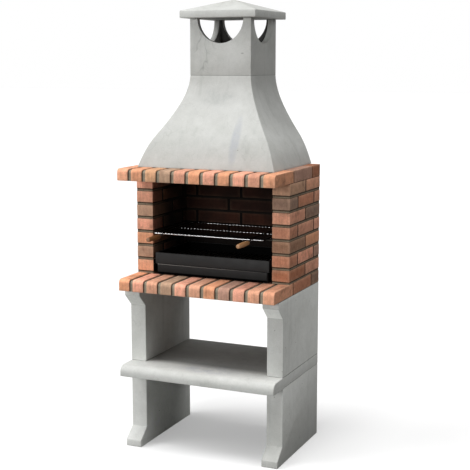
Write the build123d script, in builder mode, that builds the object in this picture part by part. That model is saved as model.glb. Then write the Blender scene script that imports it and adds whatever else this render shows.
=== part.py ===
from build123d import *
import os

# Outdoor masonry barbecue, free standing. Lengths are millimetres.
# X runs to the right, Y to the back and Z up. The origin lies on the floor,
# under the middle of the outer box. A reach is a distance in front of the
# masonry's flat back face, so that every piece is placed from that face.

# Heights of the stack, from the floor up
lower_leg_height = 373.0
shelf_thickness = 54.0
upper_leg_height = 375.0
ledge_thickness = 58.0
course_count = 7
brick_height = 57.5
bed_joint = 11.0
hood_height = 438.0
chimney_height = 273.0
cap_band_height = 35.0
cap_rise = 56.5

# Plan of the masonry
masonry_width = 812.0
leg_depth = 493.0
shelf_depth = 612.0
ledge_depth = 610.0
wall_depth = 418.0

# Cast concrete legs and shelf
leg_thickness = 82.0
foot_reach = 65.0
foot_toe_height = 34.0
foot_slope_height = 53.0
corbel_reach = 60.0
corbel_slope_height = 59.0
corbel_lip_height = 32.0
shelf_nose_radius = 34.0
cast_edge = 4.0

# Brick ledges: the hearth slab below the firebox and the lintel slab above it
ledge_column_count = 11
ledge_joint = 18.5
ledge_rear_length = 106.0
ledge_perpend = 12.0
ledge_nose_radius = 20.0
mortar_recess = 5.0

# Firebox walls
wall_thickness = 89.0
wall_closer_length = 77.0
wall_perpend = 13.0
back_wall_thickness = 45.0
back_left_closer_length = 56.5
back_right_closer_length = 64.5

# Hood, chimney and cap
hood_side_setback = 49.0
hood_front_setback = 115.0
hood_rear_overhang = 12.0
hood_base_wall = 40.0
chimney_width = 320.0
chimney_wall = 28.0
chimney_window_radius = 120.0
cap_overhang = 38.0
cap_tip_width = 8.0
joint_bevel = 2.0

# The hood's flare: where the curve passes, as shares of the hood's height and of
# the difference between its base and its top
flare_height_shares = (0.2, 0.4, 0.6, 0.8)
flare_width_shares = (0.832, 0.571, 0.299, 0.093)
flare_foot_slope_share = 0.78

# Fire unit of folded sheet steel: runners, ash drawer and charcoal basket
sheet = 2.5
basket_side_gap = 14.0
basket_proud = 2.0
basket_rear_gap = 7.0
basket_height = 54.0
basket_rim = 9.0
basket_flange = 16.0
drawer_bay_height = 54.0
runner_inset = 9.5
runner_flange = 24.0
drawer_side_gap = 5.0
drawer_panel_inset = 11.0
drawer_panel_gap = 2.5
drawer_side_height = 42.0
drawer_rear_gap = 12.0
drawer_lip = 8.0
seat_clearance = 0.3

# Charcoal grate of welded rods
grate_rod_diameter = 8.0
grate_rod_count = 21
grate_bar_width = 12.0
grate_bar_height = 5.0
grate_bar_share = 0.22
grate_clearance = 4.0

# Cooking grill of chromed rod and wire
courses_below_grill_count = 3
grill_side_gap = 27.0
grill_overhang = 45.0
grill_rear_gap = 18.0
frame_rod_diameter = 6.0
frame_corner_radius = 10.0
wire_diameter = 3.0
wire_gap_count = 32
wires_to_handle_count = 13
weld_sink = 0.4

# Grill rails, bedded in the mortar of both side walls
rail_thickness = 3.0
rail_overlap = 18.0
rail_embed = 40.0
rail_end_gap = 8.0

# Grill handles
handle_rod_diameter = 6.0
handle_straight = 6.0
handle_crank_length = 33.0
handle_drop = 12.0
handle_bend_radius = 12.0
handle_neck = 9.0
handle_tang = 60.0
grip_length = 117.0
grip_diameter = 24.0
grip_end_diameter = 20.5
grip_round = 4.0
grip_bore_clearance = 0.1
grip_bore_spare = 2.0

# Every cut runs this far past the faces that it opens
overrun = 10.0

# Levels
shelf_bottom = lower_leg_height
shelf_top = shelf_bottom + shelf_thickness
hearth_bottom = shelf_top + upper_leg_height
hearth_top = hearth_bottom + ledge_thickness
course_pitch = brick_height + bed_joint
lintel_bottom = hearth_top + course_count * course_pitch
lintel_top = lintel_bottom + ledge_thickness
hood_top = lintel_top + hood_height
chimney_top = hood_top + chimney_height
cap_band_top = chimney_top + cap_band_height
overall_height = cap_band_top + cap_rise

# Widths
half_width = masonry_width / 2
firebox_half = half_width - wall_thickness
ledge_brick_width = (masonry_width - (ledge_column_count - 1) * ledge_joint) / ledge_column_count
hood_base_half = half_width - hood_side_setback
chimney_half = chimney_width / 2
cap_width = chimney_width + 2 * cap_overhang

# Reaches
chimney_front_reach = chimney_width - hood_rear_overhang
chimney_centre_reach = chimney_half - hood_rear_overhang
hood_base_reach = ledge_depth - hood_front_setback
grill_front_reach = wall_depth + grill_overhang
grill_rear_reach = back_wall_thickness + grill_rear_gap
grip_rear_reach = grill_front_reach + handle_straight + handle_crank_length + handle_neck
grip_front_reach = grip_rear_reach + grip_length
cap_rear_reach = hood_rear_overhang + cap_overhang

# The grips reach furthest forward and the cap furthest back
overall_depth = grip_front_reach + cap_rear_reach
back_y = overall_depth / 2 - cap_rear_reach

sides = (("left", -1), ("right", 1))


def at_reach(reach):
    # Y of a plane that stands this far in front of the back face
    return back_y - reach


def block(x_span, reach_span, z_span, mode=Mode.ADD):
    # a box between two X values, two reaches and two heights
    x_low, x_high = sorted(x_span)
    reach_low, reach_high = sorted(reach_span)
    z_low, z_high = z_span
    with Locations(((x_low + x_high) / 2, at_reach((reach_low + reach_high) / 2), z_low)):
        Box(
            x_high - x_low,
            reach_high - reach_low,
            z_high - z_low,
            align=(Align.CENTER, Align.CENTER, Align.MIN),
            mode=mode,
        )


def laid_row(lengths, joint):
    # start and end of each brick in a row, one after the other with a joint between
    spans = []
    start = 0.0
    for length in lengths:
        spans.append((start, start + length))
        start += length + joint
    return spans


def write_piece(piece, name):
    piece.part.label = name
    export_step(piece.part, f"parts/{name}.step")


os.makedirs("parts", exist_ok=True)

# Lower legs: a panel on a foot that slopes forward to a blunt toe
lower_leg_points = (
    (at_reach(0), 0),
    (at_reach(leg_depth + foot_reach), 0),
    (at_reach(leg_depth + foot_reach), foot_toe_height),
    (at_reach(leg_depth), foot_toe_height + foot_slope_height),
    (at_reach(leg_depth), lower_leg_height),
    (at_reach(0), lower_leg_height),
)

for side, sign in sides:
    with BuildPart() as lower_leg:
        with BuildSketch(Plane.YZ.offset(sign * (half_width - leg_thickness / 2))):
            with BuildLine():
                Polyline(*lower_leg_points, close=True)
            make_face()
        extrude(amount=leg_thickness / 2, both=True)
        fillet(lower_leg.edges(), radius=cast_edge)
    write_piece(lower_leg, f"lower_leg_{side}")

# Storage shelf: one cast slab with a rounded nose
with BuildPart() as shelf:
    block((-half_width, half_width), (0, shelf_depth), (shelf_bottom, shelf_top))
    nose = shelf.edges().filter_by(Axis.X).group_by(Axis.Y)[0].sort_by(Axis.Z)[-1]
    fillet(nose, radius=shelf_nose_radius)
    rear_and_bottom = shelf.edges().filter_by(Axis.X).group_by(Axis.Z)[0]
    fillet(rear_and_bottom, radius=cast_edge)
write_piece(shelf, "storage_shelf")

# Upper legs: a panel with a corbel under the hearth
corbel_bottom = hearth_bottom - corbel_lip_height - corbel_slope_height
upper_leg_points = (
    (at_reach(0), shelf_top),
    (at_reach(leg_depth), shelf_top),
    (at_reach(leg_depth), corbel_bottom),
    (at_reach(leg_depth + corbel_reach), hearth_bottom - corbel_lip_height),
    (at_reach(leg_depth + corbel_reach), hearth_bottom),
    (at_reach(0), hearth_bottom),
)

for side, sign in sides:
    with BuildPart() as upper_leg:
        with BuildSketch(Plane.YZ.offset(sign * (half_width - leg_thickness / 2))):
            with BuildLine():
                Polyline(*upper_leg_points, close=True)
            make_face()
        extrude(amount=leg_thickness / 2, both=True)
        fillet(upper_leg.edges(), radius=cast_edge)
    write_piece(upper_leg, f"upper_leg_{side}")

# Ledge columns: bricks on end run from front to back, side by side
column_pitch = ledge_brick_width + ledge_joint
column_spans = []
for column in range(ledge_column_count):
    column_left = -half_width + column * column_pitch
    column_spans.append((column_left, column_left + ledge_brick_width))

# Two rows of whole bricks and a short rear row fill the depth of a ledge
ledge_brick_length = (ledge_depth - ledge_rear_length - 2 * ledge_perpend) / 2
ledge_rows = []
for start, end in laid_row((ledge_brick_length, ledge_brick_length, ledge_rear_length), ledge_perpend):
    ledge_rows.append((ledge_depth - start, ledge_depth - end))


def round_ledge_nose(piece, radius):
    # rounds the upper front edge of every solid in a front row
    front_edges = piece.edges().filter_by(Axis.X).group_by(Axis.Y)[0]
    fillet(front_edges.group_by(Axis.Z)[-1], radius=radius)


# Hearth bricks, row by row from the front
for number, row in enumerate(ledge_rows, start=1):
    with BuildPart() as hearth_row:
        for column_span in column_spans:
            block(column_span, row, (hearth_bottom, hearth_top))
        if number == 1:
            round_ledge_nose(hearth_row, ledge_nose_radius)
    write_piece(hearth_row, f"hearth_brick_row_{number}")

# Hearth mortar: the lattice that holds those bricks, struck back from their faces
mortar_half = half_width - mortar_recess
with BuildPart() as hearth_mortar:
    block(
        (-mortar_half, mortar_half),
        (mortar_recess, ledge_depth - mortar_recess),
        (hearth_bottom, hearth_top - mortar_recess),
    )
    round_ledge_nose(hearth_mortar, ledge_nose_radius - mortar_recess)
    for row_front, row_rear in ledge_rows:
        front = row_front + overrun if row_front == ledge_depth else row_front
        rear = row_rear - overrun if row_rear < mortar_recess else row_rear
        for column_left, column_right in column_spans:
            left = column_left - overrun if column_left == -half_width else column_left
            right = column_right + overrun if column_right > mortar_half else column_right
            block(
                (left, right),
                (front, rear),
                (hearth_bottom - overrun, hearth_top + overrun),
                mode=Mode.SUBTRACT,
            )
write_piece(hearth_mortar, "hearth_mortar")

# Side walls in running bond: a course starts with a whole brick or with a half bat,
# which is followed by a whole brick and a closer
wall_brick_length = (wall_depth - wall_closer_length - 2 * wall_perpend) * 2 / 3
wall_rest_length = wall_depth - wall_brick_length - wall_perpend
side_bonds = (
    laid_row((wall_brick_length, wall_rest_length), wall_perpend),
    laid_row((wall_brick_length / 2, wall_brick_length, wall_closer_length), wall_perpend),
)

# Back wall: two whole bricks between two closers, or two whole bricks and the rest
back_run = 2 * firebox_half
back_closers_length = back_left_closer_length + back_right_closer_length
back_brick_length = (back_run - back_closers_length - 3 * wall_perpend) / 2
back_rest_length = back_closers_length + wall_perpend
back_bonds = (
    laid_row(
        (back_left_closer_length, back_brick_length, back_brick_length, back_right_closer_length),
        wall_perpend,
    ),
    laid_row((back_brick_length, back_brick_length, back_rest_length), wall_perpend),
)


def course_levels(course):
    # bottom of the bed joint, bottom of the bricks and top of the bricks
    bed_bottom = hearth_top + course * course_pitch
    return bed_bottom, bed_bottom + bed_joint, bed_bottom + course_pitch


for side, sign in sides:
    for course in range(course_count):
        bed_bottom, brick_bottom, brick_top = course_levels(course)
        with BuildPart() as wall_course:
            for start, end in side_bonds[course % 2]:
                block(
                    (sign * firebox_half, sign * half_width),
                    (wall_depth - start, wall_depth - end),
                    (brick_bottom, brick_top),
                )
        write_piece(wall_course, f"{side}_wall_course_{course + 1}")

# Rails for the grill: flat steel laid on a course and bedded in the joint above
grill_half = firebox_half - grill_side_gap
rail_bottom = course_levels(courses_below_grill_count)[0]
rail_top = rail_bottom + rail_thickness
rail_reaches = (back_wall_thickness + rail_end_gap, wall_depth - rail_end_gap)
rail_inner = grill_half - rail_overlap
rail_outer = firebox_half + rail_embed

for side, sign in sides:
    with BuildPart() as rail:
        block((sign * rail_inner, sign * rail_outer), rail_reaches, (rail_bottom, rail_top))
    write_piece(rail, f"grill_rail_{side}")

# Side wall mortar: bed joints and upright joints in one piece, with the rail's slot
for side, sign in sides:
    mortar_xs = (sign * (firebox_half + mortar_recess), sign * (half_width - mortar_recess))
    mortar_reaches = (mortar_recess, wall_depth - mortar_recess)
    with BuildPart() as wall_mortar:
        for course in range(course_count):
            bed_bottom, brick_bottom, brick_top = course_levels(course)
            block(mortar_xs, mortar_reaches, (bed_bottom, brick_bottom))
            for start, end in side_bonds[course % 2][:-1]:
                joint_reach = wall_depth - end
                block(mortar_xs, (joint_reach, joint_reach - wall_perpend), (brick_bottom, brick_top))
        block(
            (sign * rail_inner, sign * rail_outer),
            rail_reaches,
            (rail_bottom, rail_top),
            mode=Mode.SUBTRACT,
        )
    write_piece(wall_mortar, f"{side}_wall_mortar")

# Back wall: thin firebricks between the side walls
for course in range(course_count):
    bed_bottom, brick_bottom, brick_top = course_levels(course)
    with BuildPart() as back_course:
        for start, end in back_bonds[course % 2]:
            block(
                (start - firebox_half, end - firebox_half),
                (0, back_wall_thickness),
                (brick_bottom, brick_top),
            )
    write_piece(back_course, f"back_wall_course_{course + 1}")

with BuildPart() as back_mortar:
    back_mortar_reaches = (mortar_recess, back_wall_thickness - mortar_recess)
    for course in range(course_count):
        bed_bottom, brick_bottom, brick_top = course_levels(course)
        block((-firebox_half, firebox_half), back_mortar_reaches, (bed_bottom, brick_bottom))
        for start, end in back_bonds[course % 2][:-1]:
            joint_left = end - firebox_half
            block((joint_left, joint_left + wall_perpend), back_mortar_reaches, (brick_bottom, brick_top))
write_piece(back_mortar, "back_wall_mortar")

# Lintel slab: a front row of bricks, side bricks and short rear bricks around the
# flue, with a strip of mortar behind the flue that ties the rear joints together
flue_front_reach = ledge_rows[0][1] - ledge_perpend
rear_brick_depth = back_wall_thickness - ledge_perpend
side_columns = (column_spans[0], column_spans[-1])

with BuildPart() as lintel_front:
    for column_span in column_spans:
        block(column_span, ledge_rows[0], (lintel_bottom, lintel_top))
    round_ledge_nose(lintel_front, ledge_nose_radius)
write_piece(lintel_front, "lintel_front_bricks")

for (side, sign), column_span in zip(sides, side_columns):
    with BuildPart() as lintel_side:
        for row in ledge_rows[1:]:
            block(column_span, row, (lintel_bottom, lintel_top))
    write_piece(lintel_side, f"lintel_side_bricks_{side}")

with BuildPart() as lintel_rear:
    for column_span in column_spans[1:-1]:
        block(column_span, (0, rear_brick_depth), (lintel_bottom, lintel_top))
write_piece(lintel_rear, "lintel_rear_bricks")

with BuildPart() as lintel_mortar:
    block(
        (-mortar_half, mortar_half),
        (mortar_recess, ledge_depth - mortar_recess),
        (lintel_bottom, lintel_top - mortar_recess),
    )
    round_ledge_nose(lintel_mortar, ledge_nose_radius - mortar_recess)
    cut_levels = (lintel_bottom - overrun, lintel_top + overrun)
    block(
        (-firebox_half, firebox_half),
        (back_wall_thickness, flue_front_reach),
        cut_levels,
        mode=Mode.SUBTRACT,
    )
    for column_left, column_right in column_spans:
        left = column_left - overrun if column_left == -half_width else column_left
        right = column_right + overrun if column_right > mortar_half else column_right
        front = ledge_rows[0][0] + overrun
        block((left, right), (front, ledge_rows[0][1]), cut_levels, mode=Mode.SUBTRACT)
        if left < column_left or right > column_right:
            for row_front, row_rear in ledge_rows[1:]:
                rear = row_rear - overrun if row_rear < mortar_recess else row_rear
                block((left, right), (row_front, rear), cut_levels, mode=Mode.SUBTRACT)
        else:
            block((left, right), (-overrun, rear_brick_depth), cut_levels, mode=Mode.SUBTRACT)
write_piece(lintel_mortar, "lintel_mortar")


def flare_points(base, top):
    # points of the flared outline between its foot and its top
    return [
        (top + width_share * (base - top), lintel_top + height_share * hood_height)
        for height_share, width_share in zip(flare_height_shares, flare_width_shares)
    ]


def flare_line(base, top, place):
    # the flared outline, drawn in the open BuildLine; place turns an offset
    # from the hood's middle into the sketch's first axis
    points = [(base, lintel_top), *flare_points(base, top), (top, hood_top)]
    foot_run = place(0) - place((base - top) * flare_foot_slope_share)
    return Spline(
        *[(place(offset), height) for offset, height in points],
        tangents=((foot_run, hood_height), (0, 1)),
    )


def flare_body(base_half, top_half, base_reach, top_reach, rear_reach, extra):
    # a solid that is flared to the front and to both sides and flat at the back
    foot = lintel_top - extra
    head = hood_top + extra
    with BuildPart() as body:
        with BuildSketch(Plane.XZ.offset(-at_reach(0))):
            with BuildLine():
                flare_line(base_half, top_half, lambda offset: offset)
                flare_line(base_half, top_half, lambda offset: -offset)
                if extra:
                    Line((base_half, foot), (base_half, lintel_top))
                    Line((-base_half, foot), (-base_half, lintel_top))
                    Line((top_half, hood_top), (top_half, head))
                    Line((-top_half, hood_top), (-top_half, head))
                Line((-base_half, foot), (base_half, foot))
                Line((-top_half, head), (top_half, head))
            make_face()
        extrude(amount=base_reach + overrun, both=True)
        with BuildSketch(Plane.YZ):
            with BuildLine():
                flare_line(base_reach, top_reach, at_reach)
                if extra:
                    Line((at_reach(base_reach), foot), (at_reach(base_reach), lintel_top))
                    Line((at_reach(top_reach), hood_top), (at_reach(top_reach), head))
                Line((at_reach(base_reach), foot), (at_reach(rear_reach), foot))
                Line((at_reach(rear_reach), foot), (at_reach(rear_reach), head))
                Line((at_reach(rear_reach), head), (at_reach(top_reach), head))
            make_face()
        extrude(amount=base_half + overrun, both=True, mode=Mode.INTERSECT)
    return body.part


# Hood: a flared concrete shell that gathers the smoke into the chimney
hood_shell = flare_body(
    hood_base_half,
    chimney_half,
    hood_base_reach,
    chimney_front_reach,
    -hood_rear_overhang,
    0,
)
hood_hollow = flare_body(
    hood_base_half - hood_base_wall,
    chimney_half - chimney_wall,
    hood_base_reach - hood_base_wall,
    chimney_front_reach - chimney_wall,
    chimney_wall - hood_rear_overhang,
    overrun,
)
with BuildPart() as hood:
    add(hood_shell)
    add(hood_hollow, mode=Mode.SUBTRACT)
write_piece(hood, "hood")

# Chimney: a square pot with a half-round window cut down from the top of each wall
chimney_centre = (0, at_reach(chimney_centre_reach))
with BuildPart() as chimney:
    with BuildSketch(Plane.XY.offset(hood_top)):
        with Locations(chimney_centre):
            Rectangle(chimney_width, chimney_width)
            Rectangle(
                chimney_width - 2 * chimney_wall,
                chimney_width - 2 * chimney_wall,
                mode=Mode.SUBTRACT,
            )
    extrude(amount=chimney_height)
    with BuildSketch(Plane.XZ.offset(-at_reach(chimney_centre_reach))):
        with Locations((0, chimney_top)):
            Circle(chimney_window_radius)
    extrude(amount=chimney_half + overrun, both=True, mode=Mode.SUBTRACT)
    with BuildSketch(Plane.YZ):
        with Locations((at_reach(chimney_centre_reach), chimney_top)):
            Circle(chimney_window_radius)
    extrude(amount=chimney_half + overrun, both=True, mode=Mode.SUBTRACT)
    chamfer(chimney.faces().sort_by(Axis.Z)[0].outer_wire().edges(), length=joint_bevel)
write_piece(chimney, "chimney_pot")

# Chimney cap: a square band under a shallow pyramid
with BuildPart() as cap:
    with BuildSketch(Plane.XY.offset(chimney_top)):
        with Locations(chimney_centre):
            Rectangle(cap_width, cap_width)
    extrude(amount=cap_band_height)
    with BuildSketch(Plane.XY.offset(cap_band_top)):
        with Locations(chimney_centre):
            Rectangle(cap_width, cap_width)
    with BuildSketch(Plane.XY.offset(overall_height)):
        with Locations(chimney_centre):
            Rectangle(cap_tip_width, cap_tip_width)
    loft()
write_piece(cap, "chimney_cap")

# Fire unit, level by level from the hearth
basket_half = firebox_half - basket_side_gap
basket_front = wall_depth + basket_proud
basket_rear = back_wall_thickness + basket_rear_gap
basket_bottom = hearth_top + drawer_bay_height
basket_top = basket_bottom + basket_height
web_outer = basket_half - runner_inset
web_inner = web_outer - sheet

# Runners: a foot flange turned in under the drawer and a top flange turned out
# under the basket
for side, sign in sides:
    with BuildPart() as runner:
        runner_reaches = (basket_rear, basket_front - 2 * sheet)
        block((sign * web_inner, sign * web_outer), runner_reaches, (hearth_top, basket_bottom))
        block(
            (sign * (web_outer - runner_flange), sign * web_outer),
            runner_reaches,
            (hearth_top, hearth_top + sheet),
        )
        block(
            (sign * web_inner, sign * basket_half),
            runner_reaches,
            (basket_bottom - sheet, basket_bottom),
        )
    write_piece(runner, f"drawer_runner_{side}")

# Ash drawer: an open tray behind a flat front panel with a folded upper lip
drawer_half = web_inner - drawer_side_gap
drawer_bottom = hearth_top + sheet + seat_clearance
panel_half = basket_half - drawer_panel_inset
panel_top = basket_bottom - drawer_panel_gap
with BuildPart() as ash_drawer:
    tray_front = basket_front - sheet
    tray_rear = basket_rear + drawer_rear_gap
    tray_top = drawer_bottom + drawer_side_height
    block((-drawer_half, drawer_half), (tray_rear, tray_front), (drawer_bottom, tray_top))
    block(
        (sheet - drawer_half, drawer_half - sheet),
        (tray_rear + sheet, tray_front - sheet),
        (drawer_bottom + sheet, tray_top + overrun),
        mode=Mode.SUBTRACT,
    )
    block((-panel_half, panel_half), (tray_front, basket_front), (drawer_bottom, panel_top))
    lip_reaches = (tray_front - drawer_lip, basket_front)
    block((-drawer_half, drawer_half), lip_reaches, (panel_top - sheet, panel_top))
write_piece(ash_drawer, "ash_drawer")

# Charcoal basket: four sheet walls with a folded rim and a floor flange
inner_half = basket_half - sheet
with BuildPart() as basket:
    block((-basket_half, basket_half), (basket_rear, basket_front), (basket_bottom, basket_top))
    block(
        (-inner_half, inner_half),
        (basket_rear + sheet, basket_front - sheet),
        (basket_bottom + sheet, basket_top - sheet),
        mode=Mode.SUBTRACT,
    )
    block(
        (basket_rim - basket_half, basket_half - basket_rim),
        (basket_rear + basket_rim, basket_front - basket_rim),
        (basket_bottom + sheet, basket_top + overrun),
        mode=Mode.SUBTRACT,
    )
    block(
        (basket_flange - basket_half, basket_half - basket_flange),
        (basket_rear + basket_flange, basket_front - basket_flange),
        (basket_bottom - overrun, basket_top),
        mode=Mode.SUBTRACT,
    )
write_piece(basket, "charcoal_basket")

# Charcoal grate: rods from front to back welded on two flat bars, laid on the flange
grate_half = basket_half - basket_rim - grate_clearance
grate_front = basket_front - basket_rim - grate_clearance
grate_rear = basket_rear + basket_rim + grate_clearance
grate_rod_radius = grate_rod_diameter / 2
grate_bottom = basket_bottom + sheet + seat_clearance
grate_axis = grate_bottom + grate_bar_height + grate_rod_radius - weld_sink
grate_pitch = (2 * grate_half - grate_rod_diameter) / (grate_rod_count - 1)
grate_bar_reach = grate_bar_share * (grate_front - grate_rear)
with BuildPart() as grate:
    for bar_centre in (grate_rear + grate_bar_reach, grate_front - grate_bar_reach):
        block(
            (-grate_half, grate_half),
            (bar_centre - grate_bar_width / 2, bar_centre + grate_bar_width / 2),
            (grate_bottom, grate_bottom + grate_bar_height),
        )
    with BuildSketch(Plane.XZ.offset(-at_reach(grate_front))):
        for rod in range(grate_rod_count):
            with Locations((grate_rod_radius - grate_half + rod * grate_pitch, grate_axis)):
                Circle(grate_rod_radius)
    extrude(amount=grate_rear - grate_front)
write_piece(grate, "charcoal_grate")

# Cooking grill: a frame of rod, a middle bar and wires from front to back
frame_radius = frame_rod_diameter / 2
wire_radius = wire_diameter / 2
frame_axis = rail_top + seat_clearance + frame_radius
wire_axis = frame_axis + frame_radius + wire_radius - weld_sink
frame_half = grill_half - frame_radius
frame_front = grill_front_reach - frame_radius
frame_rear = grill_rear_reach + frame_radius
wire_pitch = 2 * frame_half / wire_gap_count
wire_numbers = range(1 - wire_gap_count // 2, wire_gap_count // 2)
frame_centre = Plane.XY.offset(frame_axis)
with BuildPart() as grill:
    with BuildLine(frame_centre):
        frame_path = FilletPolyline(
            (-frame_half, at_reach(frame_rear)),
            (-frame_half, at_reach(frame_front)),
            (frame_half, at_reach(frame_front)),
            (frame_half, at_reach(frame_rear)),
            radius=frame_corner_radius,
            close=True,
        )
    with BuildSketch(Plane.XZ.offset(-at_reach((frame_front + frame_rear) / 2))):
        with Locations((-frame_half, frame_axis)):
            Circle(frame_radius)
    sweep(path=frame_path)
    with BuildSketch(Plane.YZ.offset(-frame_half)):
        with Locations((at_reach((frame_front + frame_rear) / 2), frame_axis)):
            Circle(frame_radius)
    extrude(amount=2 * frame_half)
    with BuildSketch(Plane.XZ.offset(-at_reach(grill_front_reach))):
        for number in wire_numbers:
            if abs(number) != wires_to_handle_count:
                with Locations((number * wire_pitch, wire_axis)):
                    Circle(wire_radius)
    extrude(amount=grill_rear_reach - grill_front_reach)
write_piece(grill, "cooking_grill")

# Handle rods: welded on top of the frame in place of two wires, then cranked
# down into the grips
rod_radius = handle_rod_diameter / 2
rod_axis = frame_axis + frame_radius + rod_radius
grip_axis = rod_axis - handle_drop
crank_start = grill_front_reach + handle_straight
crank_end = crank_start + handle_crank_length
for side, sign in sides:
    rod_x = sign * wires_to_handle_count * wire_pitch
    with BuildPart() as handle_rod:
        with BuildLine(Plane.YZ.offset(rod_x)):
            rod_path = FilletPolyline(
                (at_reach(grill_rear_reach), rod_axis),
                (at_reach(crank_start), rod_axis),
                (at_reach(crank_end), grip_axis),
                (at_reach(grip_rear_reach + handle_tang), grip_axis),
                radius=handle_bend_radius,
            )
        with BuildSketch(Plane.XZ.offset(-at_reach(grill_rear_reach))):
            with Locations((rod_x, rod_axis)):
                Circle(rod_radius)
        sweep(path=rod_path)
    write_piece(handle_rod, f"handle_rod_{side}")

# Grips: turned wood with a slight belly, bored from the back for the rod's tang
grip_radius = grip_diameter / 2
grip_end_radius = grip_end_diameter / 2
for side, sign in sides:
    rod_x = sign * wires_to_handle_count * wire_pitch
    grip_rear_end = (rod_x, at_reach(grip_rear_reach), grip_axis)
    grip_plane = Plane(origin=grip_rear_end, x_dir=(0, -1, 0), z_dir=(1, 0, 0))
    with BuildPart() as grip:
        with BuildSketch(grip_plane):
            with BuildLine():
                rear_rim = (0, grip_end_radius)
                front_rim = (grip_length, grip_end_radius)
                ThreePointArc(rear_rim, (grip_length / 2, grip_radius), front_rim)
                Polyline(front_rim, (grip_length, 0), (0, 0), rear_rim)
            make_face()
        revolve(axis=Axis(grip_rear_end, (0, -1, 0)))
        fillet(grip.edges().filter_by(GeomType.CIRCLE), radius=grip_round)
        with BuildSketch(Plane.XZ.offset(-at_reach(grip_rear_reach))):
            with Locations((rod_x, grip_axis)):
                Circle(rod_radius + grip_bore_clearance)
        extrude(amount=handle_tang + grip_bore_spare, mode=Mode.SUBTRACT)
    write_piece(grip, f"handle_grip_{side}")
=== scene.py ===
import math
import random

import bmesh
import bpy
from mathutils import Matrix, Vector, noise


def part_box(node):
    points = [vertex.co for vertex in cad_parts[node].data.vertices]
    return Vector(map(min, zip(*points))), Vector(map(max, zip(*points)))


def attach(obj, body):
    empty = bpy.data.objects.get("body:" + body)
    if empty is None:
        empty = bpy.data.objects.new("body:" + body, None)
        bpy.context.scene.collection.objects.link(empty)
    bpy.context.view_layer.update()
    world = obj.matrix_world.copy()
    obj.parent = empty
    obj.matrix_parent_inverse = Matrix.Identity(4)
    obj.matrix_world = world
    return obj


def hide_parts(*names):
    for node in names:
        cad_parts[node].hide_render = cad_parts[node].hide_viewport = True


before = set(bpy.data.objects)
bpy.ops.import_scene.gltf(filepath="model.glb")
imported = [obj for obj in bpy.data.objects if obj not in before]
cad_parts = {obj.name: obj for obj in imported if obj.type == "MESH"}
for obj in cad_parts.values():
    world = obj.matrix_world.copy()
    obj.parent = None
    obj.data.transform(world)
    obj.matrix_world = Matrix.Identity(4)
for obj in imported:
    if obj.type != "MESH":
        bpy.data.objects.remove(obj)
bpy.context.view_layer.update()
mm = 0.001
onFace = 0.1 * mm        # how near a point is to a face that it counts as on it
sides = ("left", "right")
print("frame loaded,", len(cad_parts), "nodes")


def addObject(name, data):
    made = bpy.data.objects.new(name, data)
    bpy.context.scene.collection.objects.link(made)
    return made


def direction(turn, up):
    # unit vector that many degrees to the right of the front and that many degrees up
    turn = math.radians(turn)
    up = math.radians(up)
    return Vector((math.sin(turn) * math.cos(up), -math.cos(turn) * math.cos(up), math.sin(up)))


def clamp(value):
    return min(1.0, max(0.0, value))


# Camera: the place, aim and lens that give the photograph's view
cameraSet = {
    "target": (74.4 * mm, -11.0 * mm, 1061.6 * mm),
    "distance": 5286.9 * mm,
    "azimuth": 23.79,
    "elevation": 9.10,
    "lens": 82.58,
    "sensor": 36.0,
    "clipEnd": 100.0,
}


def placeCamera(values):
    data = bpy.data.cameras.new("camera")
    data.lens = values["lens"]
    data.sensor_width = values["sensor"]
    data.clip_end = values["clipEnd"]
    camera = addObject("camera", data)
    back = direction(values["azimuth"], values["elevation"])
    camera.location = Vector(values["target"]) + back * values["distance"]
    camera.rotation_euler = (-back).to_track_quat("-Z", "Y").to_euler()
    bpy.context.scene.camera = camera


placeCamera(cameraSet)
bpy.context.scene.view_settings.view_transform = "Standard"
print("camera placed")


# Colours and shader nodes
def hexToLinear(hexColour):
    # sRGB hex to the linear red, green, blue and alpha that shaders use
    channels = [int(hexColour[start:start + 2], 16) / 255 for start in (1, 3, 5)]
    linear = [c / 12.92 if c <= 0.04045 else ((c + 0.055) / 1.055) ** 2.4 for c in channels]
    return (*linear, 1.0)


def addNode(tree, kind, settings=None, links=None):
    # one shader node: settings go to its properties or sockets, and links bring other nodes' outputs,
    # the first output where a node is given
    node = tree.nodes.new("ShaderNode" + kind)
    for name, value in (settings or {}).items():
        if isinstance(name, str) and hasattr(node, name):
            setattr(node, name, value)
        else:
            node.inputs[name].default_value = value
    for name, source in (links or {}).items():
        if isinstance(source, bpy.types.Node):
            source = source.outputs[0]
        tree.links.new(source, node.inputs[name])
    return node


def emptyTree(owner):
    owner.use_nodes = True
    owner.node_tree.nodes.clear()
    return owner.node_tree


def startMaterial(name, values, *marks):
    # the material, its tree, what it reads from the mesh, and its noise patterns: each has its size
    # in mm, or its size along each axis, then its detail, roughness and distortion, and the
    # attribute that gives each brick its own stretch of it
    material = bpy.data.materials.new(name)
    tree = emptyTree(material)
    place = addNode(tree, "TexCoord").outputs["Object"]
    read = {"place": place}
    for mark in marks:
        read[mark] = addNode(tree, "Attribute", {"attribute_name": mark}).outputs["Fac"]
    pattern = {}
    for key, (size, detail, rough, distortion, *shift) in values["patterns"].items():
        settings = {"Scale": 1.0, "Detail": detail, "Roughness": rough, "Distortion": distortion}
        links = {"Vector": place}
        if isinstance(size, tuple):
            stretch = {"Scale": [1.0 / (length * mm) for length in size]}
            links["Vector"] = addNode(tree, "Mapping", stretch, {"Vector": place})
        else:
            settings["Scale"] = 1.0 / (size * mm)
        if shift:
            settings["noise_dimensions"] = "4D"
            links["W"] = read[shift[0]]
        pattern[key] = addNode(tree, "TexNoise", settings, links)
    return material, tree, read, pattern


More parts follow.
